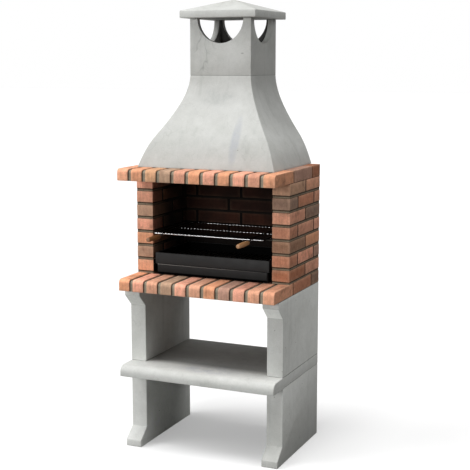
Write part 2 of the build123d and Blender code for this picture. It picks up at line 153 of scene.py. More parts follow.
def coverBy(tree, under, over, pattern, start=0.0, end=1.0, most=1.0):
    # lays a colour over another one, up to a share, as the pattern's value goes from start to end
    share = addNode(tree, "MapRange", {
        "From Min": start, "From Max": end, "To Max": most,
    }, {"Value": pattern})
    settings = {"Color2": hexToLinear(over)}
    links = {"Fac": share}
    if isinstance(under, str):
        settings["Color1"] = hexToLinear(under)
    else:
        links["Color1"] = under
    return addNode(tree, "MixRGB", settings, links)


def shadeBy(tree, colour, pattern, shades):
    # darkens and lightens a colour by each pattern that has shades
    for name, (dark, light) in shades.items():
        shade = addNode(tree, "MapRange", {
            "From Min": 0.3, "From Max": 0.7, "To Min": dark, "To Max": light, "clamp": False,
        }, {"Value": pattern[name]})
        colour = addNode(tree, "MixRGB", {"blend_type": "MULTIPLY", "Fac": 1.0}, {
            "Color1": colour, "Color2": shade,
        })
    return colour


def dullBy(tree, pattern, thin, thick):
    # roughness that follows a film or dust, from where it is thin to where it is thick
    return addNode(tree, "MapRange", {
        "From Min": 0.3, "From Max": 0.8, "To Min": thin, "To Max": thick,
    }, {"Value": pattern})


def linesIn(tree, pattern, width, most=1.0):
    # thin lines where a pattern passes through its middle value
    level = addNode(tree, "Math", {"operation": "SUBTRACT", 1: 0.5}, {0: pattern})
    gap = addNode(tree, "Math", {"operation": "ABSOLUTE"}, {0: level})
    return addNode(tree, "MapRange", {"From Max": width, "To Min": most, "To Max": 0.0}, {
        "Value": gap,
    })


def finishMaterial(material, values, colour, relief=None, links=None):
    # the shader with its colour, the relief at the strength and depth of its bump, and other links
    tree = material.node_tree
    links = {"Base Color": colour, **(links or {})}
    if relief is not None:
        strength, depth = values["bump"]
        links["Normal"] = addNode(tree, "Bump", {"Strength": strength, "Distance": depth}, {
            "Height": relief,
        })
    shader = addNode(tree, "BsdfPrincipled", values.get("shader"), links)
    addNode(tree, "OutputMaterial", links={"Surface": shader})
    return material


# Cast concrete: wet-cast in a smooth mould, so it is matt and even, with soft grey clouds,
# faint run marks, hairlines and a few air holes, painted shade in the joints between castings,
# smoke with painted shade inside the hood and the chimney pot, and painted light and shade in the
# tone of the legs, the shelf and the hood
concrete = {
    "light": "#BFC0BD",
    "dark": "#B4B5B1",
    "stain": "#A1A29E",
    "hole": "#7B7A73",
    # painted shade in the joints between castings
    "joint": "#454440",
    # smoke with painted shade inside the hood and the chimney pot
    "smoke": "#1D1B19",
    "patterns": {
        "cloud": (260.0, 5.0, 0.6, 0.4),
        "mottle": (46.0, 6.0, 0.7, 0.0),
        "runs": ((60.0, 60.0, 520.0), 3.0, 0.55, 0.6),
        "hair": (120.0, 2.0, 0.5, 1.2),
        "grain": (5.0, 2.0, 0.8, 0.0),       # real sand is finer; this is as fine as the picture shows
        "squiggle": ((85.0, 85.0, 190.0), 2.0, 0.45, 0.5),
    },
    "covers": {"cloud": (0.36, 0.66), "runs": (0.58, 0.78, 0.5)},
    "shades": {"mottle": (0.94, 1.055), "grain": (0.955, 1.045)},
    "hairWidth": 0.012,
    "hairMost": 0.55,
    "squiggleWidth": 0.022,
    "holeMm": 34.0,          # how far apart the air holes could lie
    "holeEdge": (0.05, 0.085),
    "holeRarity": 0.78,
    # single marks on this casting: middle and half size in mm, how each breaks up, strength, colour
    "marks": (
        ((-84, -20, 1950), (62, 40, 150), "lines", 0.62, "#8F918D"),
        ((-4, -52, 1736), (125, 60, 58), "patches", 0.6, "#9EA09E"),
        ((136, -150, 1530), (27, 170, 150), "broken", 0.7, "#A1A4AB"),
        ((116, -20, 1940), (9, 30, 4), "broken", 0.8, "#6E6E6A"),
        ((30, -200, 427), (190, 110, 20), "patches", 0.45, "#8F929A"),
    ),
    "markCore": 0.55,        # share of a mark's half size inside which it is at full strength
    # which mottling shows in the marks, and how strong they are without it
    "markShapes": {"patches": (0.4, 0.62, 0.0), "broken": (0.35, 0.6, 0.3)},
    "bump": (0.35, 0.6 * mm),
    "shader": {"Roughness": 0.88},
}


def addMarks(tree, place, colour, values, shapes):
    for middle, half, shape, strength, over in values["marks"]:
        offset = addNode(tree, "VectorMath", {
            "operation": "SUBTRACT", 1: [length * mm for length in middle],
        }, {0: place})
        scaled = addNode(tree, "VectorMath", {
            "operation": "DIVIDE", 1: [length * mm for length in half],
        }, {0: offset})
        distance = addNode(tree, "VectorMath", {"operation": "LENGTH"}, {0: scaled})
        within = addNode(tree, "MapRange", {
            "From Min": values["markCore"], "From Max": 1.0, "To Min": strength, "To Max": 0.0,
        }, {"Value": distance.outputs["Value"]})
        share = addNode(tree, "Math", {"operation": "MULTIPLY"}, {0: within, 1: shapes[shape]})
        colour = coverBy(tree, colour, over, share)
    return colour


def makeConcrete(values):
    marks = ("castSeam", "castSmoke", "castTone")
    material, tree, read, pattern = startMaterial("castConcrete", values, *marks)
    start, end = values["covers"]["cloud"]
    cloudy = addNode(tree, "MapRange", {"From Min": start, "From Max": end}, {
        "Value": pattern["cloud"],
    })
    colour = coverBy(tree, values["light"], values["dark"], cloudy)
    colour = coverBy(tree, colour, values["stain"], pattern["runs"], *values["covers"]["runs"])
    hairs = linesIn(tree, pattern["hair"], values["hairWidth"], values["hairMost"])
    cloudyHairs = addNode(tree, "Math", {"operation": "MULTIPLY"}, {0: hairs, 1: cloudy})
    colour = coverBy(tree, colour, values["stain"], cloudyHairs)
    shapes = {"lines": linesIn(tree, pattern["squiggle"], values["squiggleWidth"])}
    for shape, (start, end, least) in values["markShapes"].items():
        shapes[shape] = addNode(tree, "MapRange", {
            "From Min": start, "From Max": end, "To Min": least,
        }, {"Value": pattern["mottle"]})
    colour = addMarks(tree, read["place"], colour, values, shapes)
    colour = shadeBy(tree, colour, pattern, values["shades"])
    # each casting's tone, which carries painted light and shade on the legs, the shelf and the hood
    colour = addNode(tree, "MixRGB", {"blend_type": "MULTIPLY", "Fac": 1.0}, {
        "Color1": colour, "Color2": read["castTone"],
    })
    cells = addNode(tree, "TexVoronoi", {"Scale": 1.0 / (values["holeMm"] * mm)}, {
        "Vector": read["place"],
    })
    core, rim = values["holeEdge"]
    spots = addNode(tree, "MapRange", {
        "From Min": core, "From Max": rim, "To Min": 1.0, "To Max": 0.0,
    }, {"Value": cells.outputs["Distance"]})
    chosen = addNode(tree, "Math", {"operation": "GREATER_THAN", 1: values["holeRarity"]}, {
        0: cells.outputs["Color"],
    })
    holes = addNode(tree, "Math", {"operation": "MULTIPLY"}, {0: spots, 1: chosen})
    # air holes, then the painted shade in the joints, then the smoke with painted shade inside the hood
    # and the chimney pot
    for over, share in (("hole", holes), ("joint", read["castSeam"]), ("smoke", read["castSmoke"])):
        colour = coverBy(tree, colour, values[over], share)
    relief = addNode(tree, "Math", {"operation": "SUBTRACT"}, {0: pattern["grain"], 1: holes})
    return finishMaterial(material, values, colour, relief)


# Facing brick: extruded clay, sanded and kiln-fired, so every brick has its own tone, with darker
# flashes from the kiln, faint drag lines from the die, a dry sandy face, paler worn arrises that
# also stand for a painted highlight, painted light on the hearth's upper faces, and soot and painted
# shade in the firebox
brick = {
    "tones": {
        "orange": "#D59876",
        "rust": "#B97551",
        "rose": "#CD947B",
        "russet": "#A26B50",
        "pink": "#E4A288",
        "salmon": "#DAA082",
        "clay": "#B57D63",
        "tan": "#C79A78",
        "dun": "#B28E76",
        "mauve": "#AA8676",
        "brown": "#8C6953",
        "grey": "#AE9079",
        "taupe": "#8A7060",
        "fired": "#7B4632",
        "burnt": "#5F3526",
    },
    "flash": "#74503F",
    # paler arrises: wear, and a painted highlight along them
    "worn": "#E8BFA0",
    # soot and painted shade in the firebox
    "sootAndShade": "#070504",
    "patterns": {
        "flash": (75.0, 3.0, 0.6, 0.5, "brickShift"),
        "mottle": (20.0, 5.0, 0.7, 0.0, "brickShift"),
        "sand": (4.5, 2.0, 0.8, 0.0),        # real sand is finer; this is as fine as the picture shows
        "drag": ((9.0, 90.0, 90.0), 3.0, 0.6, 0.0),
    },
    "covers": {"flash": (0.52, 0.76, 0.7)},
    "shades": {"mottle": (0.82, 1.20), "sand": (0.90, 1.10), "drag": (0.87, 1.13)},
    "bump": (0.5, 0.9 * mm),
    "shader": {"Roughness": 0.92, "Specular IOR Level": 0.15},
}


def makeBrick(values, name):
    marks = ("brickShift", "brickWear", "brickSoot")
    material, tree, read, pattern = startMaterial(name, values, *marks)
    tone = addNode(tree, "Attribute", {"attribute_name": "brickTone"}).outputs["Color"]
    colour = coverBy(tree, tone, values["flash"], pattern["flash"], *values["covers"]["flash"])
    colour = shadeBy(tree, colour, pattern, values["shades"])
    worn = addNode(tree, "Math", {"operation": "MULTIPLY"}, {
        0: read["brickWear"], 1: pattern["mottle"],
    })
    colour = coverBy(tree, colour, values["worn"], worn)
    colour = coverBy(tree, colour, values["sootAndShade"], read["brickSoot"])
    relief = addNode(tree, "Math", {"operation": "ADD"}, {0: pattern["sand"], 1: pattern["mottle"]})
    return finishMaterial(material, values, colour, relief)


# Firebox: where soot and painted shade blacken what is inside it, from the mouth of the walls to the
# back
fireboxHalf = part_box("right_wall_course_1")[0].x
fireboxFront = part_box("right_wall_course_1")[0].y

# Mortar: grey-brown sand and cement, struck back with a trowel, coarse and dull, with a painted shadow
# line beside each brick, and soot and painted shade in the firebox
mortar = {
    # two greys, the way the joints follow each other, where they start, their pitch, and the shares
    # of the pitch between which the painted shadow line beside a brick fades
    "ledge": ("#978D7C", "#786F60", "X", -406.0 * mm, 75.5 * mm, 0.86, 0.80),
    "wall": ("#8A7C6A", "#6E6252", "Z", 860.0 * mm, 68.5 * mm, 0.07, 0.14),
    # the painted shadow line beside each brick
    "gap": "#2A231D",
    "shadowLineMost": 0.9,
    # soot and painted shade in the firebox
    "sootAndShade": "#060404",
    "sootAndShadeMost": 0.97,
    "sootAndShadeDepths": (5.0 * mm, 150.0 * mm),    # behind the mouth of the walls
    "sootAndShadeEdges": (8.0 * mm, 14.0 * mm),      # outside the walls' inner faces
    "patterns": {
        "patch": (45.0, 5.0, 0.7, 0.0),
        "sand": (5.0, 3.0, 0.85, 0.0),       # drawn coarser than the real sand, to show
    },
    "covers": {"patch": (0.35, 0.68)},
    "shades": {"sand": (0.85, 1.15)},
    "bump": (0.7, 1.2 * mm),
    "shader": {"Roughness": 0.95, "Specular IOR Level": 0.1},
}


def makeMortar(values, joint, name):
    light, dark, axis, start, pitch, fadeStart, fadeEnd = values[joint]
    material, tree, read, pattern = startMaterial(name, values)
    colour = coverBy(tree, light, dark, pattern["patch"], *values["covers"]["patch"])
    colour = shadeBy(tree, colour, pattern, values["shades"])
    # a painted shadow line beside each brick, repeating at the joints' pitch
    where = addNode(tree, "SeparateXYZ", links={"Vector": read["place"]})
    along = addNode(tree, "Math", {"operation": "SUBTRACT", 1: start}, {0: where.outputs[axis]})
    count = addNode(tree, "Math", {"operation": "DIVIDE", 1: pitch}, {0: along})
    share = addNode(tree, "Math", {"operation": "FRACT"}, {0: count})
    colour = coverBy(tree, colour, values["gap"], share, fadeStart, fadeEnd, values["shadowLineMost"])
    across = addNode(tree, "Math", {"operation": "ABSOLUTE"}, {0: where.outputs["X"]})
    inner, outer = values["sootAndShadeEdges"]
    within = addNode(tree, "MapRange", {
        "From Min": fireboxHalf + inner, "From Max": fireboxHalf + outer, "To Min": 1.0, "To Max": 0.0,
    }, {"Value": across})
    near, far = values["sootAndShadeDepths"]
    depth = addNode(tree, "MapRange", {
        "From Min": fireboxFront + near, "From Max": fireboxFront + far, "To Max": values["sootAndShadeMost"],
    }, {"Value": where.outputs["Y"]})
    sootAndShade = addNode(tree, "Math", {"operation": "MULTIPLY"}, {0: within, 1: depth})
    colour = coverBy(tree, colour, values["sootAndShade"], sootAndShade)
    return finishMaterial(material, values, colour, pattern["sand"])


# Black sheet steel: sprayed with heat-proof paint, satin, with a film of fine ash; soot and painted
# shade inside the basket, a painted shadow at the foot of the drawer with the panel darker towards
# it, and a painted highlight along the drawer's lip
blackSteel = {
    "paint": "#151515",
    "ash": "#292725",
    "sootAndShade": "#040404",
    # painted highlight along the drawer's lip
    "highlightGrey": "#8E8B87",
    "patterns": {
        "dust": (60.0, 6.0, 0.75, 0.0),
        "peel": (6.0, 1.0, 0.5, 0.0),
    },
    "covers": {"dust": (0.52, 0.8, 0.45)},
    "gloss": 0.22,           # under the soot and painted shade there is none
    "dull": (0.52, 0.74),    # roughness where the ash is thin and thick
    "bump": (0.15, 0.3 * mm),
}


def makeBlackSteel(values):
    marks = ("sheetSoot", "sheetWear")
    material, tree, read, pattern = startMaterial("stovePaintedSteel", values, *marks)
    sootAndShade = read["sheetSoot"]
    colour = coverBy(tree, values["paint"], values["ash"], pattern["dust"], *values["covers"]["dust"])
    colour = coverBy(tree, colour, values["sootAndShade"], sootAndShade)
    colour = coverBy(tree, colour, values["highlightGrey"], read["sheetWear"])
    gloss = addNode(tree, "MapRange", {"To Min": values["gloss"], "To Max": 0.0}, {"Value": sootAndShade})
    return finishMaterial(material, values, colour, pattern["peel"], {
        "Specular IOR Level": gloss, "Roughness": dullBy(tree, pattern["dust"], *values["dull"]),
    })


# Hot-rolled steel: bare, with mill scale and heat stains from the fire
bareSteel = {
    "scale": "#24211E",
    "rust": "#33251D",
    "patterns": {"patch": (28.0, 6.0, 0.7, 0.0)},
    "covers": {"patch": (0.45, 0.7)},
    "bump": (0.2, 0.2 * mm),
    "shader": {"Roughness": 0.55, "Metallic": 0.7},
}


def makeBareSteel(values):
    material, tree, read, pattern = startMaterial("heatStainedSteel", values)
    patch = pattern["patch"]
    colour = coverBy(tree, values["scale"], values["rust"], patch, *values["covers"]["patch"])
    return finishMaterial(material, values, colour, patch)


# Chromed rod: drawn steel wire, bright-plated, so it throws sharp white glints, with painted shade
# on the wires, the side bars and the handle rods over the grill, painted notches in the front bar at
# the welds, and on the middle and rear bars painted shade everywhere but at the welds, where painted
# glints stay
chrome = {
    "plate": "#C3C4C6",
    "film": "#8F8C86",
    "paintedDark": "#14110F",
    "weldPitch": 574.0 / 32 * mm,
    "paintedNotchEdge": (3.4 * mm, 4.4 * mm),        # where the painted shade of a notch at a weld ends
    "paintedGlintEdge": (3.0 * mm, 3.8 * mm),       # where the painted glint at a weld ends
    "patterns": {"film": (24.0, 4.0, 0.7, 0.0)},
    "covers": {"film": (0.55, 0.85, 0.5)},
    "dull": (0.07, 0.15),    # roughness where the film is thin and thick
    "shader": {"Metallic": 1.0},
}


def makeChrome(values):
    marks = ("wireUse", "weldTint", "barFilm")
    material, tree, read, pattern = startMaterial("chromedRod", values, *marks)
    colour = coverBy(tree, values["plate"], values["film"], pattern["film"], *values["covers"]["film"])
    where = addNode(tree, "SeparateXYZ", links={"Vector": read["place"]})
    fromWeld = addNode(tree, "Math", {"operation": "PINGPONG", 1: values["weldPitch"] / 2}, {
        0: where.outputs["X"],
    })
    shaded = read["wireUse"]
    # painted notches in the top of the front bar at the welds, and on the middle and rear bars painted
    # shade between the welds, which leaves painted glints at them
    spots = (("weldTint", "paintedNotchEdge", 1.0, 0.0), ("barFilm", "paintedGlintEdge", 0.0, 1.0))
    for mark, edge, atWeld, between in spots:
        start, end = values[edge]
        here = addNode(tree, "MapRange", {
            "From Min": start, "From Max": end, "To Min": atWeld, "To Max": between,
        }, {"Value": fromWeld})
        brown = addNode(tree, "Math", {"operation": "MULTIPLY"}, {0: here, 1: read[mark]})
        shaded = addNode(tree, "Math", {"operation": "MAXIMUM"}, {0: brown, 1: shaded})
    colour = coverBy(tree, colour, values["paintedDark"], shaded)
    return finishMaterial(material, values, colour, links={
        "Roughness": dullBy(tree, pattern["film"], *values["dull"]),
    })


# Beech: turned on a lathe and oiled, warm, with fine long grain and short dark flecks
beech = {
    "light": "#A67E56",
    "dark": "#835832",
    "fleck": "#684123",
    # painted shade on the left grip
    "smoked": "#5E3411",
    "patterns": {
        "grain": ((3.0, 60.0, 3.0), 4.0, 0.6, 0.8),
        "fleck": ((2.2, 9.0, 2.2), 1.0, 0.5, 0.0),
    },
    "covers": {"fleck": (0.62, 0.72, 0.6)},
    "bump": (0.2, 0.2 * mm),
    "shader": {"Roughness": 0.45},
}


def makeBeech(values):
    material, tree, read, pattern = startMaterial("turnedBeech", values, "gripUse")
    colour = coverBy(tree, values["light"], values["dark"], pattern["grain"])
    colour = coverBy(tree, colour, values["fleck"], pattern["fleck"], *values["covers"]["fleck"])
    colour = coverBy(tree, colour, values["smoked"], read["gripUse"])
    return finishMaterial(material, values, colour, pattern["grain"])


materials = {
    "cast_concrete": makeConcrete(concrete),
    "facing_brick": makeBrick(brick, "sandFacedBrick"),
    "fire_brick": makeBrick(brick, "sootedShadedFireBrick"),
    "ledge_mortar": makeMortar(mortar, "ledge", "struckLedgeMortar"),
    "wall_mortar": makeMortar(mortar, "wall", "struckWallMortar"),
    "black_steel": makeBlackSteel(blackSteel),
    "bare_steel": makeBareSteel(bareSteel),
    "chromed_wire": makeChrome(chrome),
    "turned_beech": makeBeech(beech),
}
print("materials made")


# Finishing a piece
def finishPiece(mesh, node, ending, slot, body="masonry", look=None, sharpAngle=35.0):
    # turns a bmesh into a finished object that rides on a body and stands for its CAD node
    name = f"{node}_{ending}"
    data = bpy.data.meshes.new(name)
    mesh.to_mesh(data)
    mesh.free()
    data.materials.append(materials[look or slot])
    data.shade_smooth()
    data.set_sharp_from_angle(angle=math.radians(sharpAngle))
    piece = addObject(name, data)
    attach(piece, body)
    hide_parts(node)


def dressNode(node, look):
    # a CAD piece whose shape is right keeps it and gets its finish
    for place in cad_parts[node].material_slots:
        place.material = materials[look]


def bevelEdges(mesh, edges, radius, segments):
    bmesh.ops.bevel(
        mesh, geom=edges, offset=radius, segments=segments, profile=0.5, affect="EDGES", material=-1,
        clamp_overlap=True,
    )


def bevelSharp(mesh, radius, segments, angle=50.0):
    limit = math.radians(angle)
    sharp = [edge for edge in mesh.edges if edge.is_manifold and edge.calc_face_angle(0.0) > limit]
    bevelEdges(mesh, sharp, radius, segments)


def addBox(mesh, low, high):
    low = Vector(low)
    high = Vector(high)
    matrix = Matrix.Translation((low + high) / 2) @ Matrix.Diagonal((*(high - low), 1.0))
    return bmesh.ops.create_cube(mesh, size=1.0, matrix=matrix)["verts"]


def cutAcross(mesh, axis, distance, start=Vector((0, 0, 0))):
    # a ring of edges around the mesh, that far along an axis from the start
    normal = Vector((0, 0, 0))
    normal[axis] = 1.0
    bmesh.ops.bisect_plane(
        mesh, geom=mesh.verts[:] + mesh.edges[:] + mesh.faces[:], dist=0.01 * mm,
        plane_co=start + normal * distance, plane_no=normal,
    )


def movedVerts(made):
    return [item for item in made["geom"] if isinstance(item, bmesh.types.BMVert)]


# Bricks
def brickBoxes(node):
    # low and high corners of each brick in a CAD node, from left to right and front to back
    mesh = bmesh.new()
    mesh.from_mesh(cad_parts[node].data)
    bmesh.ops.remove_doubles(mesh, verts=mesh.verts, dist=0.01 * mm)
    boxes = []
    waiting = set(mesh.verts)
    while waiting:
        island = set()
        edge = [waiting.pop()]
        while edge:
            vert = edge.pop()
            island.add(vert)
            near = {link.other_vert(vert) for link in vert.link_edges} & waiting
            waiting -= near
            edge.extend(near)
        low = Vector([min(vert.co[axis] for vert in island) for axis in range(3)])
        high = Vector([max(vert.co[axis] for vert in island) for axis in range(3)])
        boxes.append((low, high))
    mesh.free()
    return sorted(boxes, key=lambda box: (round(box[0].x, 4), round(box[0].y, 4)))


brickShape = {
    "cell": 16.0 * mm,       # grid that the worn surface is shaped on
    "arris": 2.2 * mm,
    "arrisSegments": 2,
    "unevenness": 0.35 * mm,
    "unevenScale": 42.0 * mm,
    "chipDepth": 2.4 * mm,
    "chipScale": 17.0 * mm,
    "chipRarity": 0.12,
    "drift": (7.3, 3.1, 5.7),      # how far apart the wear of two bricks lies in the noise
    "wearReach": 5.0 * mm,
    "edgeWearAndHighlight": 0.4,
    "chipWear": 0.8,
    "noseRadius": 20.0 * mm,
    "noseStops": (0.2, 0.45, 0.72, 1.0),
    "shade": 0.07,           # how far a brick's tone may be from the listed one
    "warmth": 0.03,
    "shifts": 40,
    "jointSpread": 0.0,
    "paintedTopLight": (1.0, 1.0),   # painted light on the upper faces: how much lighter they are, at the left and at the right end
}
# painted light on the hearth's upper faces: lighter at its left end, darker at its right
hearthBrickShape = {**brickShape, "paintedTopLight": (1.36, 0.84)}
wallBrickShape = {**brickShape, "jointSpread": 1.6 * mm}
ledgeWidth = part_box("hearth_mortar")[1].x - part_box("hearth_mortar")[0].x


def roundNose(mesh, low, high, radius):
    # bends the upper front corner of a brick into a quarter round, squares to arcs
    centreY = low.y + radius
    centreZ = high.z - radius
    for vert in mesh.verts:
        forward = centreY - vert.co.y
        upward = vert.co.z - centreZ
        if forward > 0 and upward > 0:
            share = max(forward, upward) / math.hypot(forward, upward)
            vert.co.y = centreY - forward * share
            vert.co.z = centreZ + upward * share


def layBrick(wall, low, high, tone, shift, values, nose, sootAndShadeAt):
    # one brick: a gridded box with rounded arrises, worn inwards from the true faces
    one = bmesh.new()
    toneLayer = one.verts.layers.float_color.new("brickTone")
    shiftLayer = one.verts.layers.float.new("brickShift")
    wearAndHighlightLayer = one.verts.layers.float.new("brickWear")
    sootAndShadeLayer = one.verts.layers.float.new("brickSoot")
    size = high - low
    addBox(one, low, high)
    for axis in range(3):
        count = max(2, round(size[axis] / values["cell"]))
        stops = [size[axis] * step / count for step in range(1, count)]
        if nose and axis:
            bend = [values["noseRadius"] * share for share in values["noseStops"]]
            stops += bend if axis == 1 else [size[axis] - stop for stop in bend]
        for stop in stops:
            cutAcross(one, axis, stop, low)
    bmesh.ops.remove_doubles(one, verts=one.verts, dist=0.05 * mm)
    if nose:
        roundNose(one, low, high, values["noseRadius"])
    one.normal_update()
    bevelSharp(one, values["arris"], values["arrisSegments"], 60.0)
    one.normal_update()
    drift = Vector([part * shift for part in values["drift"]])
    topLeft, topRight = values["paintedTopLight"]
    for vert in one.verts:
        gaps = [vert.co[axis] - low[axis] for axis in range(3)]
        gaps += [high[axis] - vert.co[axis] for axis in range(3)]
        edge = max(0.0, 1.0 - sorted(gaps)[1] / values["wearReach"])
        uneven = max(0.0, 0.5 + 0.5 * noise.noise(vert.co / values["unevenScale"] + drift))
        chip = max(0.0, noise.noise(vert.co / values["chipScale"] - drift) - values["chipRarity"])
        # painted light on the upper faces, from the left end of the ledge to the right
        paintedTopLight = topLeft + (topRight - topLeft) * (vert.co.x / ledgeWidth + 0.5)
        gain = 1.0 + (paintedTopLight - 1.0) * max(0.0, vert.normal.z)
        vert[toneLayer] = [min(1.0, part * gain) for part in tone]
        vert[shiftLayer] = shift
        vert[wearAndHighlightLayer] = edge * (values["edgeWearAndHighlight"] + chip * values["chipWear"])
        vert[sootAndShadeLayer] = sootAndShadeAt(vert.co, vert.normal) if sootAndShadeAt else 0.0
        vert.co -= vert.normal * (uneven * values["unevenness"] + chip * edge * values["chipDepth"])
        vert.co = [min(high[axis], max(low[axis], vert.co[axis])) for axis in range(3)]
    data = bpy.data.meshes.new("oneBrick")
    one.to_mesh(data)
    one.free()
    wall.from_mesh(data)
    bpy.data.meshes.remove(data)


commonTones = ("orange", "rust", "pink", "salmon", "clay", "tan", "mauve", "brown")


def makeBricks(
    node, tones, seed, values=brickShape, sootAndShadeAt=None, nose=False, slot="facing_brick", lots=commonTones,
    bond=None,
):
    # a CAD brick node as worn bricks; tones name each brick's colour, and the rest are drawn by lot;
    # bond names another course whose joints this one takes
    draw = random.Random(seed)
    tones = tones.split()
    wall = bmesh.new()
    bond = bond or node
    lift = Vector((0, 0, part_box(node)[0].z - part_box(bond)[0].z))
    spread = Vector((0, 0, values["jointSpread"]))
    for number, (low, high) in enumerate(brickBoxes(bond)):
        low, high = low + lift + spread, high + lift - spread
        lot = draw.choice(lots)
        name = tones[number] if number < len(tones) else lot
        red, green, blue, alpha = hexToLinear(brick["tones"][name])
        shade = draw.uniform(1 - values["shade"], 1 + values["shade"])
        warmth = draw.uniform(-values["warmth"], values["warmth"])
        tone = (red * shade * (1 + warmth), green * shade, blue * shade * (1 - warmth), alpha)
        layBrick(wall, low, high, tone, draw.uniform(0, values["shifts"]), values, nose, sootAndShadeAt)
    finishPiece(wall, node, "worn", slot)


# Soot and painted shade on the bricks: the inner faces of the firebox, growing from the mouth to the
# back
sootAndShadeSet = {
    "least": 0.3,
    "most": 0.96,
    "mouthReach": 200.0 * mm,
    "growth": 0.7,
    "faceDepth": 8.0 * mm,   # how far it reaches round the inner faces
    "back": 0.9,
    "hearth": 0.85,
    "lintel": 0.9,
    "lintelReach": 20.0 * mm,
    "patch": 90.0 * mm,
    "uneven": 0.1,
    "coals": 0.99,           # soot and painted shade beside the coals and just above them, whatever the depth
    "coalFade": 45.0 * mm,
    "sideTop": 985.0 * mm,
    "backTop": 1065.0 * mm,
}
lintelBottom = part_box("lintel_front_bricks")[0].z


def patchySootAndShade(share, point):
    return share + sootAndShadeSet["uneven"] * noise.noise(point / sootAndShadeSet["patch"])


def sootAndShadeNearCoals(point, top):
    return sootAndShadeSet["coals"] * clamp((top - point.z) / sootAndShadeSet["coalFade"])


def sootAndShadeInFirebox(point, normal):
    if abs(point.x) >= fireboxHalf + sootAndShadeSet["faceDepth"] or point.y <= fireboxFront + 1 * mm:
        return 0.0
    depth = clamp((point.y - fireboxFront) / sootAndShadeSet["mouthReach"])
    share = sootAndShadeSet["least"] + (sootAndShadeSet["most"] - sootAndShadeSet["least"]) * depth ** sootAndShadeSet["growth"]
    return clamp(max(patchySootAndShade(share, point), sootAndShadeNearCoals(point, sootAndShadeSet["sideTop"])))


def sootAndShadeOnBack(point, normal):
    if normal.y > 0.5:
        return 0.0
    return clamp(max(patchySootAndShade(sootAndShadeSet["back"], point), sootAndShadeNearCoals(point, sootAndShadeSet["backTop"])))


# painted shadow, with soot, on the hearth under the front of the fire unit
def sootAndShadeOnHearth(point, normal):
    under = point.y > fireboxFront - 1 * mm and abs(point.x) < fireboxHalf and normal.z > 0.3
    return clamp(patchySootAndShade(sootAndShadeSet["hearth"], point)) if under else 0.0


# painted shade, with soot, under the lintel over the firebox
def sootAndShadeOnLintel(point, normal):
    inside = point.y > fireboxFront and abs(point.x) < fireboxHalf
    return sootAndShadeSet["lintel"] if inside and point.z < lintelBottom + sootAndShadeSet["lintelReach"] else 0.0


# The tones that show on each run of bricks, left to right, or from the front where a run goes back
hearthTones = (
    "orange pink salmon grey pink salmon orange mauve pink salmon salmon",
    "tan orange pink orange grey salmon orange tan pink grey clay",
    "rust pink tan orange clay grey salmon pink orange rust taupe",
)
lintelRuns = (
    ("front_bricks", "salmon orange tan grey rose orange pink orange pink rose orange"),
    ("rear_bricks", "tan orange rust pink orange brown salmon orange pink"),
    ("side_bricks_left", "brown orange"),
    ("side_bricks_right", "mauve russet"),
)
rightTones = (
    "russet rose", "clay pink mauve", "brown orange", "clay rose pink", "rose taupe", "taupe clay rose",
    "dun salmon",
)
leftTones = (
    "salmon orange", "dun pink orange", "orange tan", "pink grey orange", "dun salmon",
    "rose orange brown", "pink orange",
)
courses = len(rightTones)

for number, tones in enumerate(hearthTones, start=1):
    row = f"hearth_brick_row_{number}"
    makeBricks(row, tones, number, hearthBrickShape, sootAndShadeOnHearth, nose=number == 1)
for number, (run, tones) in enumerate(lintelRuns, start=11):
    front = run == "front_bricks"
    makeBricks(f"lintel_{run}", tones, number, sootAndShadeAt=sootAndShadeOnLintel if front else None, nose=front)
for course in range(1, courses + 1):
    for side, wallTones, seed in (("right", rightTones, 20), ("left", leftTones, 40)):
        node = f"{side}_wall_course_{course}"
        makeBricks(node, wallTones[course - 1], seed + course, wallBrickShape, sootAndShadeInFirebox)
    # the back wall breaks its joints the other way round from the CAD, as the photograph shows
    bond = f"back_wall_course_{course + 1 if course < courses else course - 1}"
    makeBricks(
        f"back_wall_course_{course}", "", 60 + course, sootAndShadeAt=sootAndShadeOnBack, slot="fire_brick",
        lots=("fired", "burnt"), bond=bond,
    )
print("bricks laid")


def makeMortarBed(node, fuller=3.0 * mm):
    # a wall's mortar as one bed behind its joints, filled nearly to the brick faces
    low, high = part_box(node)
    out = Vector((fuller, fuller, 0))
    bed = bmesh.new()
    addBox(bed, low - out, high + out)
    finishPiece(bed, node, "bed", "mortar", look="wall_mortar")


# The two slabs keep their CAD mortar
for slab in ("hearth", "lintel"):
    dressNode(slab + "_mortar", "ledge_mortar")
for wall in ("left", "right", "back"):
    makeMortarBed(wall + "_wall_mortar")


# Cast concrete legs and shelf: outlines drawn from the side and pulled across
castShape = {
    "arris": 3.0 * mm,
    "arrisSegments": 3,
    "legDepth": 493.0 * mm,
    "toeHeight": 34.0 * mm,
    "footSlopeHeight": 53.0 * mm,
    "lipHeight": 32.0 * mm,
    "corbelSlopeHeight": 59.0 * mm,
    "slopeEdge": 1.5 * mm,
    "noseRadius": 34.0 * mm,
    "noseSteps": 12,
    # painted light and shade on each leg: its tone on its front, under its corbel and on its flanks, and
    # how much the flanks fall off from their upper front to their lower back
    "tones": {
        "lower_leg_left": (1.12, 1.12, 1.95, 0.0),
        "lower_leg_right": (1.0, 1.0, 1.02, 0.5),
        "upper_leg_left": (1.22, 1.6, 1.09, 0.0),
        "upper_leg_right": (1.02, 1.75, 1.4, -0.1),
    },
    # painted light on the shelf's ends
    "shelfEndLight": 1.14,
    # painted shade under the hearth and painted light on the front band: tone of the shelf from its
    # back to its front edge, at these shares of its depth
    "shelfLightAndShade": ((0.0, 0.74), (0.55, 0.5), (0.7, 0.54), (0.79, 1.22), (0.93, 1.32), (1.0, 1.0)),
}


